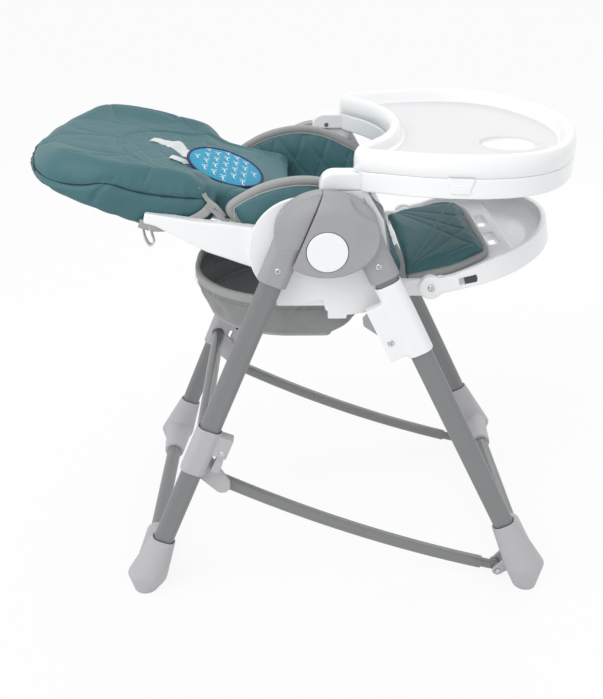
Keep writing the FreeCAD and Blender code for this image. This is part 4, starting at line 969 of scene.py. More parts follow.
# %% [markdown]
# ## Footrest
# The footrest is a shallow dish with a rounded front.  Behind its front wall the floor curves up
# into the wall, which a swept fillet adds before the voxel step melts all of it together.
# %% Footrest
FOOT_SIDE = 62
FOOT_HALF_WIDTH = 206
FOOT_REACH = 180
FILLET_SECTION = [(8, -7), (8, 20), (10.5, 19), (12, 12), (15, 6), (20, 1.2), (27, -2), (38, -3.8),
                  (38, -7)]
FILLET_FROM = 150
BLOCK = [(4, 48), (203, 208), (-13, 15)]


def box_piece(name, spans, place):
    (x0, x1), (y0, y1), (z0, z1) = spans
    corners = np.array([(x, y, z) for x in (x0, x1) for y in (y0, y1) for z in (z0, z1)]) * MM
    faces = [(0, 1, 3, 2), (4, 6, 7, 5), (0, 4, 5, 1), (2, 3, 7, 6), (0, 2, 6, 4), (1, 5, 7, 3)]
    return make_object(name, place(corners), faces)


def footrest_fillet():
    points, faces = [], []
    steps = 80
    rim = len(FILLET_SECTION)
    limit = np.arccos((FILLET_FROM - FOOT_SIDE) / FOOT_REACH)
    for angle in np.linspace(-limit, limit, steps):
        edge = np.array([FOOT_SIDE + FOOT_REACH * cos(angle), FOOT_HALF_WIDTH * sin(angle)])
        way = np.array([FOOT_HALF_WIDTH * cos(angle), FOOT_REACH * sin(angle)])
        way /= np.linalg.norm(way)
        for inset, height in FILLET_SECTION:
            x, y = edge - way * inset
            points.append((x, y, height))
    for k in range(steps - 1):
        for j in range(rim):
            a = k * rim + j
            b = k * rim + (j + 1) % rim
            faces.append((a, b, b + rim, a + rim))
    faces.append(tuple(range(rim)))
    faces.append(tuple(range((steps - 1) * rim, steps * rim)))
    piece = make_object("fillet", to_footrest(np.array(points) * MM), faces)
    outward(piece)
    return piece


blocks = [box_piece("block_left", BLOCK, to_footrest),
          box_piece("block_right", [BLOCK[0], (-BLOCK[1][1], -BLOCK[1][0]), BLOCK[2]], to_footrest)]
for block in blocks:
    outward(block)
footrest = moulded("moulded_footrest", ["footrest"], voxel=1.5, rounds=8, keep=0.3,
                   extra=[footrest_fillet(), *blocks])
settle(footrest, WHITE_PLASTIC, "footrest", ["footrest"])
print("footrest:", len(footrest.data.polygons), "faces")

# %% [markdown]
# ## Screws and rivets
# The chair shows about a dozen cross-headed screws and a few rivets.  One head of each is made in
# mesh code, and a Geometry Nodes tree sets a copy on each place, turned to its own direction and
# by a little of its own, as screws are never all aligned.
# %% Heads
def disc_piece(name, radii, height_at, sides):
    """A round head on the XY plane, facing +Z, with its foot closed below."""
    points = [(0, 0, height_at(0.0, 0.0))]
    faces = []
    turn = np.linspace(0, 2 * pi, sides, endpoint=False)
    for radius in radii:
        points.extend((radius * cos(a), radius * sin(a), height_at(radius * cos(a), radius * sin(a)))
                      for a in turn)
    points.extend((cos(a), sin(a), -0.3) for a in turn)
    for k in range(sides):
        faces.append((0, 1 + k, 1 + (k + 1) % sides))
    for ring in range(len(radii)):
        for k in range(sides):
            a = 1 + ring * sides + k
            b = 1 + ring * sides + (k + 1) % sides
            faces.append((a, a + sides, b + sides, b))
    faces.append(tuple(1 + len(radii) * sides + k for k in reversed(range(sides))))
    return make_object(name, points, faces)


def screw_height(x, y):
    dome = 0.42 * (1 - 0.75 * (x * x + y * y) ** 1.5)
    in_arm = (abs(x) < 0.15 and abs(y) < 0.62) or (abs(y) < 0.15 and abs(x) < 0.62)
    return dome - (0.42 if in_arm else 0)


SCREW_RADII = (0.1, 0.14, 0.17, 0.25, 0.35, 0.45, 0.55, 0.6, 0.65, 0.75, 0.87, 0.95, 1.0)
screw_head = disc_piece("screw_head", SCREW_RADII, screw_height, 40)
rivet_head = disc_piece("rivet_head", (0.3, 0.55, 0.75, 0.9, 1.0),
                        lambda x, y: 0.38 * max(0, 1 - x * x - y * y) ** 0.5, 24)


def tree_with(name, sockets):
    """A Geometry Nodes tree with a mesh in, a mesh out and named inputs."""
    tree = bpy.data.node_groups.new(name, "GeometryNodeTree")
    tree.interface.new_socket("Mesh", in_out="INPUT", socket_type="NodeSocketGeometry")
    for socket, kind in sockets:
        tree.interface.new_socket(socket, in_out="INPUT", socket_type="NodeSocket" + kind)
    tree.interface.new_socket("Mesh", in_out="OUTPUT", socket_type="NodeSocketGeometry")
    return tree, tree.nodes.new("NodeGroupInput"), tree.nodes.new("NodeGroupOutput")


def grown(piece, tree, values):
    """Runs a tree on a piece and keeps the result as a plain mesh."""
    modifier = piece.modifiers.new("rule", "NODES")
    modifier.node_group = tree
    for item in tree.interface.items_tree:
        if item.in_out == "INPUT" and item.name in values:
            modifier[item.identifier] = values[item.name]
    apply_modifiers(piece)
    return piece


def named_vector(tree, name):
    """Reads a direction that is stored on each point."""
    node = tree.nodes.new("GeometryNodeInputNamedAttribute")
    node.data_type = "FLOAT_VECTOR"
    node.inputs["Name"].default_value = name
    return node


def end_with_material(tree, geometry, given, result):
    real = tree.nodes.new("GeometryNodeRealizeInstances")
    finish = tree.nodes.new("GeometryNodeSetMaterial")
    tree.links.new(geometry, real.inputs[0])
    tree.links.new(real.outputs[0], finish.inputs["Geometry"])
    tree.links.new(given.outputs["Finish"], finish.inputs["Material"])
    tree.links.new(finish.outputs[0], result.inputs[0])


def make_heads_tree():
    tree, given, result = tree_with("set_heads", [("Head", "Object"), ("Size", "Float"),
                                                  ("Finish", "Material")])
    facing = named_vector(tree, "facing")
    align = tree.nodes.new("FunctionNodeAlignRotationToVector")
    align.axis = "Z"
    tree.links.new(facing.outputs["Attribute"], align.inputs["Vector"])
    spin = tree.nodes.new("FunctionNodeRandomValue")
    spin.data_type = "FLOAT"
    spin.inputs["Max"].default_value = pi / 2
    spin.inputs["Seed"].default_value = SEED
    about = tree.nodes.new("ShaderNodeCombineXYZ")
    tree.links.new(spin.outputs[1], about.inputs["Z"])
    to_turn = tree.nodes.new("FunctionNodeEulerToRotation")
    tree.links.new(about.outputs[0], to_turn.inputs[0])
    rotate = tree.nodes.new("FunctionNodeRotateRotation")
    rotate.rotation_space = "LOCAL"
    tree.links.new(align.outputs[0], rotate.inputs["Rotation"])
    tree.links.new(to_turn.outputs[0], rotate.inputs["Rotate By"])
    head = tree.nodes.new("GeometryNodeObjectInfo")
    tree.links.new(given.outputs["Head"], head.inputs["Object"])
    place = tree.nodes.new("GeometryNodeInstanceOnPoints")
    tree.links.new(given.outputs["Mesh"], place.inputs["Points"])
    tree.links.new(head.outputs["Geometry"], place.inputs["Instance"])
    tree.links.new(rotate.outputs[0], place.inputs["Rotation"])
    tree.links.new(given.outputs["Size"], place.inputs["Scale"])
    end_with_material(tree, place.outputs[0], given, result)
    return tree


HEADS_TREE = make_heads_tree()


def set_heads(name, head, radius, places, facings, body, finish=SCREW_STEEL, nodes=()):
    piece = make_object(name, places, [])
    facing = piece.data.attributes.new("facing", "FLOAT_VECTOR", "POINT")
    facing.data.foreach_set("vector", np.asarray(facings, float).ravel())
    grown(piece, HEADS_TREE, {"Head": head, "Size": radius, "Finish": finish})
    smooth_shaded(piece)
    settle(piece, finish, body, nodes)
    print(name, len(places), "heads")
    return piece


# %% Screw and rivet places
def both_ways(point, depth):
    """A place on each side of the chair, facing outwards."""
    x, z = point[0], point[2]
    return [(x, depth, z), (x, -depth, z)], [(0, 1, 0), (0, -1, 0)]


def plane_point(place, x, z):
    return place(np.array([[x, 0, z]]) * MM)[0]


SLEEVE_FACE = 275.3 * MM
LEVER_FACE = 272 * MM
FOOT_PIVOT_FACE = 206.8 * MM
CLAMP_FACE = 271 * MM
LEVER_SCREW = plane_point(to_front_leg, 24, -195)
LATCH_RIVET = plane_point(to_rear_leg, -23, -421)
for end in ("front", "rear"):
    screws = end + "_sleeve_screws"
    places, facing = both_ways(middle(screws), SLEEVE_FACE)
    set_heads(end + "_sleeve_heads", screw_head, 5.2 * MM, places, facing, end + "_frame", nodes=[screws])
lever_places, lever_facing = both_ways(LEVER_SCREW, LEVER_FACE)
foot_places, foot_facing = both_ways(FOOT_PIVOT, FOOT_PIVOT_FACE)
arm_places = to_chair(np.array([(16, 200, 780), (16, -200, 780)]) * MM)
set_heads("seat_screw_heads", screw_head, 6.0 * MM, [*lever_places, *foot_places],
          [*lever_facing, *foot_facing], "seat", nodes=["seat_screws"])
set_heads("armrest_screw_heads", screw_head, 4.0 * MM, arm_places, [(0, -1, 0), (0, 1, 0)], "seat",
          finish=DARK_PLASTIC)
latch_places, latch_facing = both_ways(LATCH_RIVET, CLAMP_FACE)
set_heads("clamp_rivet_heads", rivet_head, 5.5 * MM, latch_places, latch_facing, "rear_frame",
          nodes=["clamp_rivets"])
for head in (screw_head, rivet_head):
    bpy.data.objects.remove(head)

# %% [markdown]
# ## Padded parts
# The seat pads are leatherette over wadding.  Each one starts as a copy of its solid, is rebuilt on
# a 5 mm grid and is then blown up a little by a cloth simulation, which gives the taut, rounded
# look of a stuffed cover.  Seams come last, because a fine groove would not survive the grid: a
# groove is pressed in along each sewn line, and the wadding between the lines stands up.
# %% Cloth and seam helpers
CLOTH_FRAMES = 20
PRESSURE = 4.0


def blown_up(piece, cap):
    """Inflates a closed pad a little; no point moves further than the cap."""
    start = points_of(piece)
    cloth = piece.modifiers.new("cloth", "CLOTH")
    cloth.settings.quality = 5
    cloth.settings.mass = 0.25
    cloth.settings.tension_stiffness = 12
    cloth.settings.compression_stiffness = 12
    cloth.settings.bending_stiffness = 1.5
    cloth.settings.use_pressure = True
    cloth.settings.uniform_pressure_force = PRESSURE
    cloth.settings.effector_weights.gravity = 0
    cloth.collision_settings.use_collision = False
    scene = bpy.context.scene
    for step in range(1, CLOTH_FRAMES + 1):
        scene.frame_set(step)
    apply_modifiers(piece)
    scene.frame_set(1)
    move = points_of(piece) - start
    reach = np.linalg.norm(move, axis=1)
    move *= np.minimum(1, cap / np.maximum(reach, 1e-9))[:, None]
    set_points(piece, start + move)
    print(piece.name, "moved at most", round(float(reach.max()) / MM, 1), "mm before the cap")


def padded(name, nodes, voxel, rounds, shape=None, cap=6, soften=2):
    """A pad from its solid: grid, shaping, pressure, one subdivision."""
    piece = cad_copy(name, nodes)
    rounded(piece, voxel, rounds)
    if shape:
        set_points(piece, shape(points_of(piece)))
    blown_up(piece, cap * MM)
    relax = piece.modifiers.new("relax", "SMOOTH")
    relax.factor = 0.5
    relax.iterations = soften
    finer = piece.modifiers.new("finer", "SUBSURF")
    finer.levels = 1
    finer.render_levels = 1
    apply_modifiers(piece)
    smooth_shaded(piece)
    return piece


RAY_START = 0.2


def skin_of(piece):
    """A search tree over a piece's faces."""
    return BVHTree.FromPolygons([v.co[:] for v in piece.data.vertices],
                                [tuple(f.vertices) for f in piece.data.polygons])


def on_surface(piece, lines, towards):
    """Lines laid on a piece by casting rays along a direction; parts that miss are dropped."""
    tree = skin_of(piece)
    way = Vector(towards).normalized()
    laid = []
    for line in lines:
        run = []
        for point in line:
            hit = tree.ray_cast(Vector(point) - way * RAY_START, way)[0]
            if hit is None:
                if len(run) > 2:
                    laid.append(np.array(run))
                run = []
            else:
                run.append(hit[:])
        if len(run) > 2:
            laid.append(np.array(run))
    return laid


def snapped(piece, line):
    """A line moved to the nearest places on a piece."""
    tree = skin_of(piece)
    return np.array([tree.find_nearest(Vector(point))[0][:] for point in line])


def sewn(piece, lines, groove=2.2, width=3.2, puff=1.6, puff_width=18, step=1.5, reach=26):
    """Presses a groove along each line and lets the wadding stand up beside it."""
    dense = []
    for line in lines:
        length = np.sum(np.linalg.norm(np.diff(line, axis=0), axis=1))
        dense.append(evenly(line, max(3, int(length / (step * MM)))))
    dense = np.vstack(dense)
    tree = KDTree(len(dense))
    for k, point in enumerate(dense):
        tree.insert(point, k)
    tree.balance()
    points = points_of(piece)
    normals = np.zeros(len(points) * 3)
    piece.data.vertices.foreach_get("normal", normals)
    normals = normals.reshape(-1, 3)
    away = np.array([tree.find(p)[2] for p in points]) / MM
    press = groove * np.exp(-(away / width) ** 2)
    stand = puff * (1 - np.exp(-(away / puff_width) ** 2)) * (1 - smoothstep(reach, reach * 1.6, away))
    set_points(piece, points + normals * (stand - press)[:, None] * MM)


STITCH_SEGMENTS = 6
STITCH_RINGS = 4


def make_stitch_tree():
    tree, given, result = tree_with("stitch_row", [("Pitch", "Float"), ("Length", "Float"),
                                                   ("Thickness", "Float"), ("Finish", "Material")])
    to_curve = tree.nodes.new("GeometryNodeMeshToCurve")
    tree.links.new(given.outputs["Mesh"], to_curve.inputs["Mesh"])
    spaced = tree.nodes.new("GeometryNodeResampleCurve")
    spaced.mode = "LENGTH"
    tree.links.new(to_curve.outputs[0], spaced.inputs["Curve"])
    tree.links.new(given.outputs["Pitch"], spaced.inputs["Length"])
    stitch = tree.nodes.new("GeometryNodeMeshUVSphere")
    stitch.inputs["Segments"].default_value = STITCH_SEGMENTS
    stitch.inputs["Rings"].default_value = STITCH_RINGS
    stitch.inputs["Radius"].default_value = 0.5
    along = tree.nodes.new("GeometryNodeInputTangent")
    align = tree.nodes.new("FunctionNodeAlignRotationToVector")
    align.axis = "X"
    tree.links.new(along.outputs[0], align.inputs["Vector"])
    size = tree.nodes.new("ShaderNodeCombineXYZ")
    tree.links.new(given.outputs["Length"], size.inputs["X"])
    tree.links.new(given.outputs["Thickness"], size.inputs["Y"])
    tree.links.new(given.outputs["Thickness"], size.inputs["Z"])
    place = tree.nodes.new("GeometryNodeInstanceOnPoints")
    tree.links.new(spaced.outputs[0], place.inputs["Points"])
    tree.links.new(stitch.outputs["Mesh"], place.inputs["Instance"])
    tree.links.new(align.outputs[0], place.inputs["Rotation"])
    tree.links.new(size.outputs[0], place.inputs["Scale"])
    end_with_material(tree, place.outputs[0], given, result)
    return tree


STITCH_TREE = make_stitch_tree()


def stitches(name, lines, body, thread, slot, *, pitch=4.5, length=3.2, thickness=0.7):
    points, edges = [], []
    for line in lines:
        start = len(points)
        points.extend(line)
        edges.extend((start + k, start + k + 1) for k in range(len(line) - 1))
    mesh = bpy.data.meshes.new(name)
    mesh.from_pydata([tuple(map(float, p)) for p in points], edges, [])
    row = bpy.data.objects.new(name, mesh)
    bpy.context.scene.collection.objects.link(row)
    grown(row, STITCH_TREE, {"Pitch": pitch * MM, "Length": length * MM, "Thickness": thickness * MM,
                             "Finish": thread})
    smooth_shaded(row)
    settle(row, thread, body)
    print(name, len(row.data.polygons) // (STITCH_SEGMENTS * STITCH_RINGS), "stitches")


QUILT_STITCH = {"pitch": 5.2, "length": 3.2, "thickness": 0.45}


def quilted(name, pad, lines, towards, body):
    """The fine pale thread of a pad's quilting, laid on its sewn surface."""
    stitches(name, on_surface(pad, lines, towards), body, PALE_THREAD, "teal_cover", **QUILT_STITCH)


def line_through(points, count=60):
    """A smooth open line through a few points (Catmull-Rom)."""
    points = np.asarray(points, float)
    padded_points = np.vstack([2 * points[0] - points[1], points, 2 * points[-1] - points[-2]])
    rows = []
    for k in range(len(points) - 1):
        a, b, c, d = padded_points[k:k + 4]
        t = np.linspace(0, 1, 24, endpoint=False)[:, None]
        rows.append(0.5 * (2 * b + (c - a) * t + (2 * a - 5 * b + 4 * c - d) * t ** 2
                           + (3 * b - a - 3 * c + d) * t ** 3))
    return evenly(np.vstack(rows + [points[-1:]]), count)


def swept(name, path, sides, section):
    """Carries a closed section along a path; sides is the section's first axis at each point."""
    path = np.asarray(path, float)
    way = np.gradient(path, axis=0)
    way /= np.linalg.norm(way, axis=1)[:, None]
    sides = np.asarray(sides, float)
    sides = sides - np.sum(sides * way, axis=1)[:, None] * way
    sides /= np.linalg.norm(sides, axis=1)[:, None]
    ups = np.cross(way, sides)
    section = np.asarray(section, float)
    count = len(section)
    points, faces = [], []
    for centre, side, up in zip(path, sides, ups):
        points.extend(centre + side * a + up * b for a, b in section * MM)
    for k in range(len(path) - 1):
        for j in range(count):
            a = k * count + j
            b = k * count + (j + 1) % count
            faces.append((a, b, b + count, a + count))
    faces.append(tuple(range(count)))
    faces.append(tuple((len(path) - 1) * count + j for j in range(count)))
    piece = make_object(name, points, faces)
    outward(piece)
    smooth_shaded(piece)
    return piece


def flat_section(width, thick):
    """A flat strip's section with rounded edges."""
    w = width / 2
    t = thick / 2
    return [(-w, 0), (-w + t * 0.6, t), (-w / 2, t * 1.05), (0, t), (w / 2, t * 1.05), (w - t * 0.6, t),
            (w, 0), (w - t * 0.6, -t), (0, -t), (-w + t * 0.6, -t)]


def folded_section(half, leg, thick=1.3):
    """A binding folded over an edge: a channel that opens along the second axis."""
    outer = [(half * cos(a), half * sin(a)) for a in np.linspace(0, pi, 9)]
    inner = [((half - thick) * cos(a), (half - thick) * sin(a)) for a in np.linspace(pi, 0, 9)]
    return [(half, -leg), *outer, (-half, -leg), (-half + thick, -leg), *inner, (half - thick, -leg)]


# %% [markdown]
# ## Backrest cover
# The cover is a thick pad with a puffed border all round, a calmer panel inside a U-shaped seam and
# a deep skirt at each side, which is bound in grey where it ends at the seat.  The border's height
# follows the distance from the outline, so it swells evenly round the head.
# %% Backrest cover
BACK_HALF = [(-157, 150), (-170, 203), (-240, 220), (-345, 235), (-410, 209), (-460, 143), (-483, 75),
             (-490, 0)]
U_SEAM = [(-34, 128), (-160, 132), (-240, 128), (-285, 112), (-318, 80), (-338, 40), (-342, 0)]
U_MOUTH = [(-34, -128), (-34, 128)]
STRAIGHT_BELOW = 170    # where the cover's side edge is straight
SHELL_HALF = 170
SHELL_MARGIN = 8
EDGE_ROUND = 26         # how far in from the outline the edge is rounded
HEAD_ROUND = 22         # added to that at the head
EDGE_DEPTH = 0.66
BORDER_CREST = 34       # how far in from the outline the border stands highest
CREST_SPREAD = 28
CREST_HEIGHT = 5.5
SIDE_CREST = 13         # added to the crest at the sides
PANEL_DROP = 4.5
HEAD_WIDER = 0.1


def from_back(points):
    """Chair places in the backrest's own sloped axes, in mm."""
    return turned(np.asarray(points) - np.array(PIVOT[:]), -BACK_SLOPE, (0, 0, 0)) / MM


def back_line(points, height=50):
    """A plan line of the backrest, in the chair's frame."""
    return to_back(np.array([(x, y, height) for x, y in points]) * MM)


back_outline = closed_spline(with_mirror(BACK_HALF), 260)
u_line = line_through(with_mirror(U_SEAM), 140)
u_shape = np.vstack([u_line, U_MOUTH])


def shape_of_back(points):
    """Rounds the edge, raises the border, lowers the middle panel and widens the head."""
    local = from_back(points)
    flat = local[:, :2]
    edge = np.where(is_inside(back_outline, flat), distance_to(back_outline, flat), 0)
    straight = SHELL_HALF - np.abs(flat[:, 1]) + SHELL_MARGIN
    edge = np.where(flat[:, 0] > -STRAIGHT_BELOW, straight, edge)
    edge = np.clip(edge, 0, None)
    seam = distance_to(u_line, flat, closed=False)
    inside_u = is_inside(u_shape, flat)
    upper = smoothstep(8, 34, local[:, 2])
    reach = EDGE_ROUND + HEAD_ROUND * smoothstep(330, 450, -flat[:, 0])
    lift = -reach * (1 - np.sqrt(1 - (1 - np.clip(edge / reach, 0, 1)) ** 2)) * EDGE_DEPTH
    height = CREST_HEIGHT + SIDE_CREST * smoothstep(60, 190, np.abs(flat[:, 1]))
    ridge = np.exp(-((edge - BORDER_CREST) / CREST_SPREAD) ** 2)
    crest = height * ridge * smoothstep(150, 215, -flat[:, 0])
    lift += crest - PANEL_DROP * np.where(inside_u, smoothstep(0, 14, seam), 0)
    local[:, 2] += lift * upper
    local[:, 1] *= 1 + HEAD_WIDER * smoothstep(370, 450, -flat[:, 0])
    return to_back(local * MM)


back_cover = padded("backrest_cover", ["back_cover"], 5, 5, shape_of_back, cap=5, soften=6)

# Leaf-shaped quilting: arcs fan from the inner seam to the edge and cross each other.
LEAVES = 7
LEAF_LEAN = 0.075
LEAF_BOW = 0.12
LEAF_SHARE = 0.86       # of the way to the rim
ARC_STEP = 44
border_lines = []
rim_points = back_outline[(back_outline[:, 0] < -160)]
rim_points = rim_points[np.argsort(np.arctan2(rim_points[:, 1], -rim_points[:, 0] - 250))]
for k in range(LEAVES):
    share = (k + 0.5) / LEAVES
    start = u_line[int((1 - share) * (len(u_line) - 1))]
    for lean in (-LEAF_LEAN, LEAF_LEAN):
        end = rim_points[int(np.clip(share + lean, 0.01, 0.99) * (len(rim_points) - 1))]
        bow = np.array([start[1] - end[1], end[0] - start[0]]) * np.sign(lean) * LEAF_BOW
        leaf_end = start + (end - start) * LEAF_SHARE
        border_lines.append(line_through([start, (start + end) / 2 + bow, leaf_end], 40))
panel_lines = []
for k in range(-3, 4):
    for side in (-1, 1):
        middle_of_arc = -300 + ARC_STEP * k
        line = line_through([(middle_of_arc - 34, side * -104), (middle_of_arc + 10, side * -20),
                             (middle_of_arc + 74, side * 96)], 60)
        panel_lines.append(line[is_inside(u_shape, line)])
panel_lines = [line for line in panel_lines if len(line) > 4]
down_back = directions(to_back, [(0, 0, -1)])[0]
u_seam = on_surface(back_cover, [back_line(u_line)], down_back)
quilting = on_surface(back_cover, [back_line(line) for line in border_lines + panel_lines], down_back)
side_seams = []
for side in (-1, 1):
    corner = line_through([(-166, side * 190, 40), (-200, side * 206, 36), (-250, side * 219, 34),
                           (-300, side * 228, 36), (-330, side * 230, 44), (-346, side * 229, 34),
                           (-380, side * 224, 24), (-420, side * 208, 20), (-460, side * 160, 18),
                           (-486, side * 82, 18), (-492, 0, 18)], 150)
    pinch = line_through([(-318, side * 222, 46), (-328, side * 229, 38), (-338, side * 232, 24),
                          (-344, side * 230, 8)], 40)
    side_seams.append(snapped(back_cover, to_back(pinch * MM)))
    side_seams.append(snapped(back_cover, to_back(corner * MM)))
sewn(back_cover, u_seam, groove=4.0, width=5.0, puff=1.5, puff_width=16)
sewn(back_cover, quilting, groove=1.4, width=3.0, puff=1.0, puff_width=18)
sewn(back_cover, side_seams, groove=3.2, width=5.0, puff=0.5, puff_width=14)


def calmed(line, window=15):
    """Takes the jitter out of a line that was snapped to a mesh."""
    half = window // 2
    wide = np.vstack([np.repeat(line[:1], half, axis=0), line, np.repeat(line[-1:], half, axis=0)])
    even = np.ones(window) / window
    return np.column_stack([np.convolve(wide[:, k], even, "valid") for k in range(3)])


# Painted shade along each side seam: a dark strip stands just proud of the cover in the crease, in place
# of the shade that falls there.
SHADE_STRIP_PROUD = 0.9 * MM
cover_skin = skin_of(back_cover)
for side, line in zip(("right", "left"), side_seams[1::2]):
    flank = calmed(snapped(back_cover, line))
    aside = np.array([cover_skin.find_nearest(Vector(point))[1][:] for point in flank])
    crease = flank + calmed(aside) * SHADE_STRIP_PROUD
    up_way = directions(to_back, np.tile([0.0, 0.0, 1.0], (len(crease), 1)))
    shade_strip = swept("cover_crease_" + side, crease, up_way, flat_section(1.8, 1.8))
    settle(shade_strip, PAINTED_CREASE_SHADE, "backrest")
settle(back_cover, LEATHERETTE, "backrest", ["back_cover"])
quilted("cover_quilting", back_cover, quilting, down_back, "backrest")
stitches("cover_seam", on_surface(back_cover, u_seam, down_back), "backrest", PALE_THREAD,
         "teal_cover", pitch=4.6, length=3.4, thickness=0.7)
print("backrest cover:", len(back_cover.data.polygons), "faces")

# The skirt's grey binding, from the seat to the webbing loop, on both sides.
for side in (-1, 1):
    path = line_through([(-160, side * 199, 33), (-171, side * 203, 16), (-190, side * 208, 1),
                         (-216, side * 215, -11), (-243, side * 221, -17), (-268, side * 224, -15)], 60)
    way = np.tile([0.0, -1.0, 0.0], (len(path), 1))
    section = [(a, b) for b, a in flat_section(15, 3.4)]
    binding = swept("skirt_binding_" + side_name(side), to_back(path * MM), way, section)
    settle(binding, BINDING, "backrest")

# %% [markdown]
# ## Seat cushion, wings and leg pad
# These are the same leatherette pads, with quilting in crossing arcs on the seat and the leg pad
# and in diamonds on the wings.  A grey binding is folded over the wings' arches and over the
# edges of the leg pad.
# %% Seat cushion
seat_cushion = padded("seat_cushion_pad", ["seat_cushion"], 5, 7, cap=5)


def seat_line(points, height=700):
    return to_chair(np.array([(x, y, height) for x, y in points]) * MM)


arcs = []
for k in range(4):
    for side in (-1, 1):
        reach_out = 40 + 70 * k
        arcs.append(line_through([(150, side * (150 - reach_out * 0.9)), (60, side * (165 - reach_out)),
                                  (-30, side * (172 - reach_out * 0.55)), (-74, side * 172)], 60))
down = (0, 0, -1)
seat_quilting = on_surface(seat_cushion, [seat_line(arc) for arc in arcs], down)
sewn(seat_cushion, seat_quilting, groove=1.6, width=3.2, puff=1.6, puff_width=20)
settle(seat_cushion, LEATHERETTE, "seat", ["seat_cushion"])
quilted("seat_quilting", seat_cushion, seat_quilting, down, "seat")

# %% Leg pad
LEG_PAD_LOW = 4.3
LEG_PAD_THICK = 20
LEG_PAD_THINNING = 9    # taken off the pad's edge
LEG_QUILT_HALF = 160


def shape_of_leg_pad(points):
    """Thins the pad towards its sides, its front and its cut-off corners."""
    local = turned(points - np.array(FOOT_PIVOT[:]), FOOT_SLOPE, (0, 0, 0)) / MM
    edge = np.minimum(170 - np.abs(local[:, 1]), 118 - local[:, 0])
    edge = np.minimum(edge, 218 - np.abs(local[:, 1]) - 0.47 * local[:, 0])
    thin = LEG_PAD_THINNING * (1 - smoothstep(0, 24, edge))
    share = np.clip((local[:, 2] - LEG_PAD_LOW) / LEG_PAD_THICK, 0, 1)
    local[:, 2] -= thin * share
    return to_footrest(local * MM)


leg_pad = padded("leg_pad", ["legrest_pad"], 4.5, 5, shape_of_leg_pad, cap=5)
leg_arcs = []
for k in range(4):
    for side in (-1, 1):
        reach_out = 40 + 74 * k
        leg_arcs.append(line_through([(-30, side * 160), (30, side * (168 - reach_out * 0.55)),
                                      (78, side * (164 - reach_out)),
                                      (112, side * (160 - reach_out * 1.25))], 50))
down_foot = directions(to_footrest, [(0, 0, -1)])[0]
leg_lines = [to_footrest(np.array([(x, y, 40) for x, y in arc if abs(y) < LEG_QUILT_HALF]) * MM)
             for arc in leg_arcs]
leg_quilting = on_surface(leg_pad, [line for line in leg_lines if len(line) > 4], down_foot)
sewn(leg_pad, leg_quilting, groove=1.6, width=3.0, puff=1.6, puff_width=20)
settle(leg_pad, LEATHERETTE, "footrest", ["legrest_pad"])
quilted("leg_quilting", leg_pad, leg_quilting, down_foot, "footrest")
rim = line_through([(-34, -170, 10), (10, -170, 10), (44, -168, 10), (80, -152, 10), (102, -137, 10),
                    (112, -112, 10), (114, -60, 10), (114, 0, 10), (114, 60, 10), (112, 112, 10),
                    (102, 137, 10), (80, 152, 10), (44, 168, 10), (10, 170, 10), (-34, 170, 10)], 150)
tilted = directions(to_footrest, np.tile([0.0, 0.0, 1.0], (len(rim), 1)))
binding = swept("leg_pad_binding", to_footrest(rim * MM), tilted, folded_section(5.2, 9))
settle(binding, BINDING, "footrest")
STITCH_IN, STITCH_UP = 6, 5.4
at_front = rim[:, 0] > 100
shift = np.column_stack([-STITCH_IN * at_front, -np.sign(rim[:, 1]) * STITCH_IN,
                         np.full(len(rim), STITCH_UP)])
stitches("leg_binding_stitch", [to_footrest((rim + shift) * MM)], "footrest", GREY_THREAD, "grey_fabric")

# %% Wings
WING_ARCH = [(-158, 730), (-128, 753), (-90, 769), (-44, 777), (0, 773), (46, 755), (86, 730)]
WING_FRONT = [(86, 730), (97, 690), (103, 652), (98, 612)]
WING_REAR = [(-118, 676), (-142, 704), (-158, 730)]
WING_PLANE = 185.3
WING_PIPING = 6.5       # beside the wing's plane
PIPING_DROP = 8.5       # below the wing's edge


def shape_of_wing(points):
    """Thins a wing towards its arched edge."""
    local = (points - np.array([HUB.x, 0, 0])) / MM
    arch = line_through(WING_ARCH, 80)
    edge = distance_to(arch, local[:, [0, 2]], closed=False)
    side = np.sign(local[:, 1])
    keep = 0.34 + 0.66 * smoothstep(2, 40, edge)
    local[:, 1] = side * (WING_PLANE + (np.abs(local[:, 1]) - WING_PLANE) * keep)
    return to_chair(local * MM)


def diamond_lines():
    """Two sets of slanting lines that stop short of the wing's edges."""
    arch = line_through(WING_ARCH, 80)
    lines = []
    for k in range(-5, 8):
        for lean in (-1, 1):
            start = np.array([-150 + 52 * k, 604.0])
            end = start + np.array([lean * 110 - 40, 170.0])
            bow = np.array([8.0 * lean, 0])
            line = line_through([start, (start + end) / 2 + bow, end], 60)
            under = line[:, 1] < np.interp(line[:, 0], arch[:, 0], arch[:, 1]) - 13
            inside = under & (line[:, 0] > -150) & (line[:, 0] < 96)
            if inside.sum() > 5:
                lines.append(line[inside])
    return lines


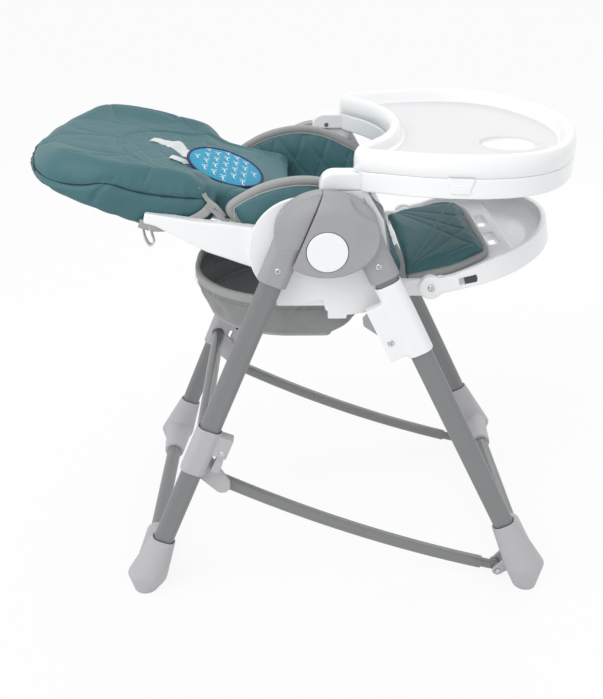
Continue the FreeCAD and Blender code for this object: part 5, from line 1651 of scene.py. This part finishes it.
for side in (1, -1):
    tail = side_name(side)
    wing = padded("seat_wing_pad_" + tail, ["seat_wing_" + tail], 4.5, 5, shape_of_wing, cap=5)
    inner_lines = [to_chair(np.array([(x, 0, z) for x, z in line]) * MM) for line in diamond_lines()]
    laid = on_surface(wing, inner_lines, (0, side, 0))
    sewn(wing, laid, groove=1.6, width=3.2, puff=1.6, puff_width=20)
    settle(wing, LEATHERETTE, "seat", ["seat_wing_" + tail])
    quilted("wing_quilting_" + tail, wing, inner_lines, (0, side, 0), "seat")
    outline = line_through([*WING_REAR, *WING_ARCH[1:], *WING_FRONT[1:]], 130)
    path = to_chair(np.array([(x, side * WING_PLANE, z) for x, z in outline]) * MM)
    across = np.tile([0.0, 1.0, 0.0], (len(path), 1))
    binding = swept("wing_binding_" + tail, path, across, folded_section(5.6, 9))
    settle(binding, BINDING, "seat")
    for face in (-1, 1):
        seam = np.array([(x, side * WING_PLANE + face * WING_PIPING, z - PIPING_DROP)
                         for x, z in outline if -150 < x < 86])
        across = np.tile([0.0, 1.0, 0.0], (len(seam), 1))
        name = "wing_piping_" + tail + ("_out" if face == side else "_in")
        piping = swept(name, to_chair(seam * MM), across, flat_section(2.4, 2.4))
        settle(piping, GREY_THREAD, "seat")

# %% [markdown]
# ## Harness and oval pad
# The shoulder webbing comes out of a slot in the cover, twists once and runs under an oval pad.
# Webbing is thin, so it is swept along its path.  The pad has a navy piping and a small
# printed sprig, which Geometry Nodes scatter in rows.
# %% Straps
SLOT_POINTS = 9         # of a strap's path, still inside its slot
STRAP_LIFT = 1.6
ABOVE_COVER = 200.0
NO_COVER = -1e3


def cover_height(spots):
    """The cover's height above the backrest's axes at plan places, in mm."""
    heights = []
    for x, y in spots:
        above = to_back(np.array([(x, y, ABOVE_COVER)]) * MM)[0]
        hit = cover_skin.ray_cast(Vector(above), Vector(down_back))[0]
        heights.append(from_back(np.array([hit[:]]))[0][2] if hit else NO_COVER)
    return np.array(heights)


def strap(name, path, ways, width):
    """Webbing along a path, lifted onto the cover; ways are its width's directions on the way."""
    line = line_through(path, 70)
    lying = line[SLOT_POINTS:]
    lying[:, 2] = np.maximum(lying[:, 2], cover_height(lying[:, :2]) + STRAP_LIFT)
    shares = np.linspace(0, 1, len(ways))
    at = np.linspace(0, 1, len(line))
    sides = np.column_stack([np.interp(at, shares, [w[k] for w in ways]) for k in range(3)])
    piece = swept(name, to_back(line * MM), directions(to_back, sides), flat_section(width, 1.6))
    return settle(piece, WEBBING, "backrest")


far_strap = strap("shoulder_strap_far", [(-309, 52, 38), (-300, 50, 47), (-286, 46, 53), (-262, 38, 52),
                                         (-246, 24, 56), (-232, 4, 52), (-214, -18, 51), (-190, -36, 50)],
                  [(0.1, 1, 0), (0.3, 1, 0.1), (0.5, 0.5, 0.9), (0.6, 0.9, 0.2), (0.6, 0.9, 0)], 22)
strap("shoulder_strap_near", [(-256, -38, 38), (-246, -40, 47), (-234, -48, 50), (-214, -58, 50),
                              (-190, -66, 50)], [(0.1, 1, 0), (0.2, 1, 0), (0.2, 1, 0)], 20)
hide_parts("shoulder_straps")
crotch_line = line_through([(-40, 0, 645), (-26, 0, 652.5), (10, 0, 652), (44, 0, 653)], 40)
crotch = swept("crotch_webbing", to_chair(crotch_line * MM), np.tile([0.0, 1.0, 0.0], (40, 1)),
               flat_section(26, 1.6))
settle(crotch, WEBBING, "seat", ["crotch_strap"])

# %% Oval pad
PAD_PLACE = np.array([-152, -68, 53])
PAD_TURN = radians(-44)
PAD_TILT = radians(9)
PAD_RADII = (74, 58)
PIPING = 2.6
pad_centre = PAD_PLACE


def on_pad(points):
    """From the pad's own flat axes to the chair; the pad's left edge is a little raised."""
    points = np.asarray(points, float)
    x = points[:, 0] * cos(PAD_TURN) - points[:, 1] * sin(PAD_TURN)
    y = points[:, 0] * sin(PAD_TURN) + points[:, 1] * cos(PAD_TURN)
    z = points[:, 2]
    tilted_y = y * cos(PAD_TILT) - z * sin(PAD_TILT)
    tilted_z = z * cos(PAD_TILT) + y * sin(PAD_TILT)
    return to_back((np.column_stack([x, tilted_y, tilted_z]) + pad_centre) * MM)


def pad_height(x, y):
    far_out = np.clip((x / PAD_RADII[0]) ** 2 + (y / PAD_RADII[1]) ** 2, 0, 1)
    return 3.2 + 5.2 * (1 - far_out ** 2.2)


spots_under = np.array([(share * PAD_RADII[0] * cos(a), share * PAD_RADII[1] * sin(a), 0)
                        for share in (0.5, 0.95) for a in np.linspace(0, 2 * pi, 24, endpoint=False)])
under_pad = from_back(on_pad(spots_under))
sunk = cover_height(under_pad[:, :2]) - under_pad[:, 2]
pad_rise = max(0.0, float(np.percentile(sunk, 85)))
pad_centre = PAD_PLACE + np.array([0, 0, pad_rise])
print("oval pad raised by", round(pad_rise, 1), "mm to lie on the cover")

rings, ring_sides = 18, 96
pad_points, pad_faces = [], []
turn = np.linspace(0, 2 * pi, ring_sides, endpoint=False)
for upper in (True, False):
    start = len(pad_points)
    pad_points.append((0, 0, pad_height(0, 0) if upper else 0))
    for ring in range(1, rings + 1):
        share = ring / rings
        x = PAD_RADII[0] * share * np.cos(turn)
        y = PAD_RADII[1] * share * np.sin(turn)
        z = pad_height(x, y) if upper else np.full(ring_sides, 0.6 * share)
        pad_points.extend(zip(x, y, z))
    for k in range(ring_sides):
        pad_faces.append((start, start + 1 + k, start + 1 + (k + 1) % ring_sides))
        for ring in range(rings - 1):
            a = start + 1 + ring * ring_sides + k
            b = start + 1 + ring * ring_sides + (k + 1) % ring_sides
            pad_faces.append((a, a + ring_sides, b + ring_sides, b))
top_rim = 1 + (rings - 1) * ring_sides
low_rim = top_rim + 1 + rings * ring_sides
for k in range(ring_sides):
    k2 = (k + 1) % ring_sides
    pad_faces.append((top_rim + k, top_rim + k2, low_rim + k2, low_rim + k))
oval = make_object("oval_pad_cloth", on_pad(pad_points), pad_faces)
outward(oval)
smooth_shaded(oval)
settle(oval, PRINT_BLUE, "backrest", ["oval_pad"])
rim_angle = np.linspace(0, 2 * pi, 121)
rim_path = on_pad(np.column_stack([PAD_RADII[0] * np.cos(rim_angle), PAD_RADII[1] * np.sin(rim_angle),
                                   np.full(121, 3.0)]))
round_section = [(PIPING * cos(a), PIPING * sin(a)) for a in np.linspace(0, 2 * pi, 10, endpoint=False)]
up_way = directions(on_pad, np.tile([0.0, 0, 1], (121, 1)))
piping = swept("oval_pad_piping", rim_path, up_way, round_section)
settle(piping, PIPING_NAVY, "backrest")


# %% Printed sprigs
SPRIG_SIZE = (1.7, 1.4)


def sprig_piece():
    """A stem with five small leaves, thin enough to read as ink."""
    points, faces = [], []

    def leaf(centre, angle, length, width):
        start = len(points)
        way = np.array([cos(angle), sin(angle)])
        across = np.array([-way[1], way[0]])
        centre = np.array(centre)
        for share, half in ((0, 0.15), (0.25, 0.85), (0.6, 1.0), (1.0, 0.1)):
            for sign in (-1, 1):
                spot = centre + way * length * share + across * width * half * sign
                points.append((spot[0], spot[1], 0.28))
        faces.extend((a, a + 1, a + 3, a + 2) for a in range(start, start + 6, 2))

    leaf((0, -6.5), pi / 2, 9.5, 0.6)
    for height, angle, length in ((2.8, 0.7, 4.6), (0.4, 0.1, 3.4)):
        leaf((0, height), angle, length, 0.55)
        leaf((0, height), pi - angle, length, 0.55)
    leaf((0.2, -5.8), -0.5, 2.6, 0.6)
    return make_object("sprig", np.array(points) * (*SPRIG_SIZE, 1) * MM, faces)


def make_sprig_tree():
    tree, given, result = tree_with("sprig_rows", [("Sprig", "Object"), ("Finish", "Material")])
    facing = named_vector(tree, "facing")
    upright = named_vector(tree, "upright")
    turn_to = tree.nodes.new("FunctionNodeAxesToRotation")
    turn_to.primary_axis = "Z"
    turn_to.secondary_axis = "Y"
    tree.links.new(facing.outputs["Attribute"], turn_to.inputs[0])
    tree.links.new(upright.outputs["Attribute"], turn_to.inputs[1])
    sprig = tree.nodes.new("GeometryNodeObjectInfo")
    tree.links.new(given.outputs["Sprig"], sprig.inputs["Object"])
    place = tree.nodes.new("GeometryNodeInstanceOnPoints")
    tree.links.new(given.outputs["Mesh"], place.inputs["Points"])
    tree.links.new(sprig.outputs["Geometry"], place.inputs["Instance"])
    tree.links.new(turn_to.outputs[0], place.inputs["Rotation"])
    end_with_material(tree, place.outputs[0], given, result)
    return tree


SPRIG_STEP = (17, 25)
SPRIG_MARGIN = 12
spots = []
for column in range(-5, 6):
    for row in range(-4, 5):
        along = column * SPRIG_STEP[0]
        up = (row + 0.5 * (column % 2)) * SPRIG_STEP[1]
        x = along * cos(PAD_TURN) + up * sin(PAD_TURN)
        y = up * cos(PAD_TURN) - along * sin(PAD_TURN)
        if (x / (PAD_RADII[0] - SPRIG_MARGIN)) ** 2 + (y / (PAD_RADII[1] - SPRIG_MARGIN)) ** 2 < 1:
            spots.append((x, y))
spots = np.array(spots)
heights = pad_height(spots[:, 0], spots[:, 1]) + 0.1
slope = 1.0
around = pad_height(spots[:, 0] + slope, spots[:, 1]) - pad_height(spots[:, 0] - slope, spots[:, 1])
beside = pad_height(spots[:, 0], spots[:, 1] + slope) - pad_height(spots[:, 0], spots[:, 1] - slope)
normals = np.column_stack([-around / (2 * slope), -beside / (2 * slope), np.ones(len(spots))])
origin = on_pad(np.zeros((len(spots), 3)))
sprigs = make_object("oval_pad_print", on_pad(np.column_stack([spots, heights])), [])
facing = sprigs.data.attributes.new("facing", "FLOAT_VECTOR", "POINT")
facing.data.foreach_set("vector", ((on_pad(normals) - origin) / MM).ravel())
upright = sprigs.data.attributes.new("upright", "FLOAT_VECTOR", "POINT")
print_up = np.tile([sin(PAD_TURN) - 0.1, cos(PAD_TURN), 0.0], (len(spots), 1))
upright.data.foreach_set("vector", ((on_pad(print_up) - origin) / MM).ravel())
sprig = sprig_piece()
grown(sprigs, make_sprig_tree(), {"Sprig": sprig, "Finish": PRINT_WHITE})
bpy.data.objects.remove(sprig)
settle(sprigs, PRINT_WHITE, "backrest")
print("sprigs:", len(spots))

# %% [markdown]
# ## Basket
# The basket is thin cloth on a wire hoop: a shell between a small floor and a wide rim, round at the
# back and square at the front.  It sags between its hoop and its floor, puckers under the rim
# binding and has a stitched seam round the floor.
# %% Basket
BASKET_RIM_Z, BASKET_FLOOR_Z = 565.0, 492.0
BASKET_STEPS = 420
BASKET_LEVELS = 26
BULGE = 7.0
RIM_TUCK = 1.2
FLOOR_SAG = 7.0
SAG_SHARE = 0.4


def basket_line(x_rear, x_front, half_width, corner=10):
    """An outline with a round rear and small front corners."""
    radius = half_width * 0.9
    square = half_width - radius
    points = [(x_front, -half_width + corner), (x_front, half_width - corner)]
    points += [(x_front - corner * (1 - cos(a)), half_width - corner * (1 - sin(a)))
               for a in np.linspace(0.3, pi / 2, 5)]
    quarter = np.linspace(0, pi / 2, 30)
    points += [(x_rear + radius - radius * sin(a), square + radius * cos(a)) for a in quarter]
    points += [(x_rear + radius - radius * cos(a), -square - radius * sin(a)) for a in quarter]
    points += [(x_front - corner * (1 - cos(a)), -half_width + corner * (1 - sin(a)))
               for a in np.linspace(pi / 2, 0.3, 5)]
    return evenly(np.array([*points, points[0]]), BASKET_STEPS + 1)[:-1]


floor_line = basket_line(-210, 12, 168)
rim_line = basket_line(-232, 81, 188.5)
random = np.random.default_rng(SEED)
angle = np.linspace(0, 2 * pi, BASKET_STEPS, endpoint=False)
FULL_TURN = 6.28


def waves_round(weakest, counts):
    """Waves round the basket, each with its own strength and start."""
    return sum(random.uniform(weakest, 1.0) * np.sin(n * angle + random.uniform(0, FULL_TURN))
               for n in counts)


gather = waves_round(0.4, (61, 74, 89, 103))
crumple = waves_round(0.5, (7, 11, 17, 26))
rim_out = -inward_normals(rim_line)
points, faces = [], []
for level in range(BASKET_LEVELS + 1):
    t = level / BASKET_LEVELS
    ring = floor_line * (1 - t) + rim_line * t
    bulge = BULGE * sin(pi * t) ** 0.7 - RIM_TUCK * smoothstep(0.9, 1.0, t)
    pucker = 0.8 * gather * exp(-((t - 0.9) / 0.22) ** 2)
    pucker = pucker + 2.3 * crumple * sin(pi * t) * np.sin(angle * 5 + 7 * t)
    ring = ring + rim_out * (bulge + pucker)[:, None]
    z = BASKET_FLOOR_Z + t * (BASKET_RIM_Z - BASKET_FLOOR_Z)
    points.extend((x, y, z) for x, y in ring)
for level in range(BASKET_LEVELS):
    for k in range(BASKET_STEPS):
        a = level * BASKET_STEPS + k
        b = level * BASKET_STEPS + (k + 1) % BASKET_STEPS
        faces.append((a, b, b + BASKET_STEPS, a + BASKET_STEPS))
floor_grid = grid_inside(floor_line, 12, 7)
flat, floor_faces = filled(floor_line, floor_grid)
sag = FLOOR_SAG * smoothstep(0, 70, distance_to(floor_line, flat))
start = len(points)
points.extend((x, y, BASKET_FLOOR_Z - drop * SAG_SHARE) for (x, y), drop in zip(flat, sag))
faces.extend(tuple(start + v for v in reversed(f)) for f in floor_faces)
basket = make_object("basket_cloth", to_chair(np.array(points) * MM), faces)
outward(basket, 0.0001)
cloth = basket.modifiers.new("cloth", "SOLIDIFY")
cloth.thickness = 1.2 * MM
cloth.offset = -1
apply_modifiers(basket)
smooth_shaded(basket)
settle(basket, BASKET_CLOTH, "seat", ["basket"])


def basket_binding(name, line, height, section):
    """A binding all round the basket at one height."""
    path = np.vstack([line, line[:2]])
    path = np.column_stack([path, np.full(len(path), height)])
    binding = swept(name, to_chair(path * MM), np.tile([0.0, 0.0, 1.0], (len(path), 1)), section)
    settle(binding, BINDING, "seat")


basket_binding("basket_rim_binding", rim_line, 563.5, flat_section(19, 8.5))
basket_binding("basket_floor_binding", floor_line, 493.0, flat_section(9, 3.4))
rim_row = np.column_stack([rim_line + rim_out * 5.2, np.full(BASKET_STEPS, 550.0)])
floor_row = np.column_stack([floor_line + rim_out * 3.4, np.full(BASKET_STEPS, 501.5)])
rows = [to_chair(np.vstack([row, row[:1]]) * MM) for row in (rim_row, floor_row)]
stitches("basket_stitch", rows, "seat", DARK_THREAD, "grey_fabric", pitch=7, length=4.6, thickness=0.9)
print("basket:", len(basket.data.polygons), "faces")

# %% [markdown]
# ## Webbing at the cover's lower edge
# A loop of pale webbing hangs under each side of the cover, and two grey tapes on each side lead
# from the cover's corner towards the seat.
# %% Loop and ties
TIES = {"tie_upper": [(-192, 186, 57), (-184, 187, 54), (-169, 190, 37), (-152, 191, 28), (-136, 192, 15)],
        "tie_lower": [(-168, 201, 33), (-158, 201, 26), (-148, 200, 19), (-129, 199, 9)]}
for tie, points in TIES.items():
    for side in (-1, 1):
        path = line_through([(x, side * y, z) for x, y, z in points], 50)
        across = np.tile([0.25, -1.0 * side, 0.35], (len(path), 1))
        strip = swept(tie + "_" + side_name(side), to_back(path * MM), directions(to_back, across),
                      flat_section(11, 2.2))
        settle(strip, BINDING, "backrest")
LOOP_PLANE = 216
loop_path = line_through([(-262, 0, -14), (-261, 0, -24), (-255, 0, -40), (-246, 0, -50), (-240, 0, -44),
                          (-247, 0, -28), (-252, 0, -14)], 60)
for side in (-1, 1):
    path = to_back((loop_path + np.array([0, side * LOOP_PLANE, 0])) * MM)
    across = np.tile([0.0, 1.0, 0.0], (len(path), 1))
    loop = swept("webbing_loop_" + side_name(side), path, across, flat_section(16, 1.6))
    settle(loop, WEBBING, "backrest")
    if side < 0:
        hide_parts("cover_tab")
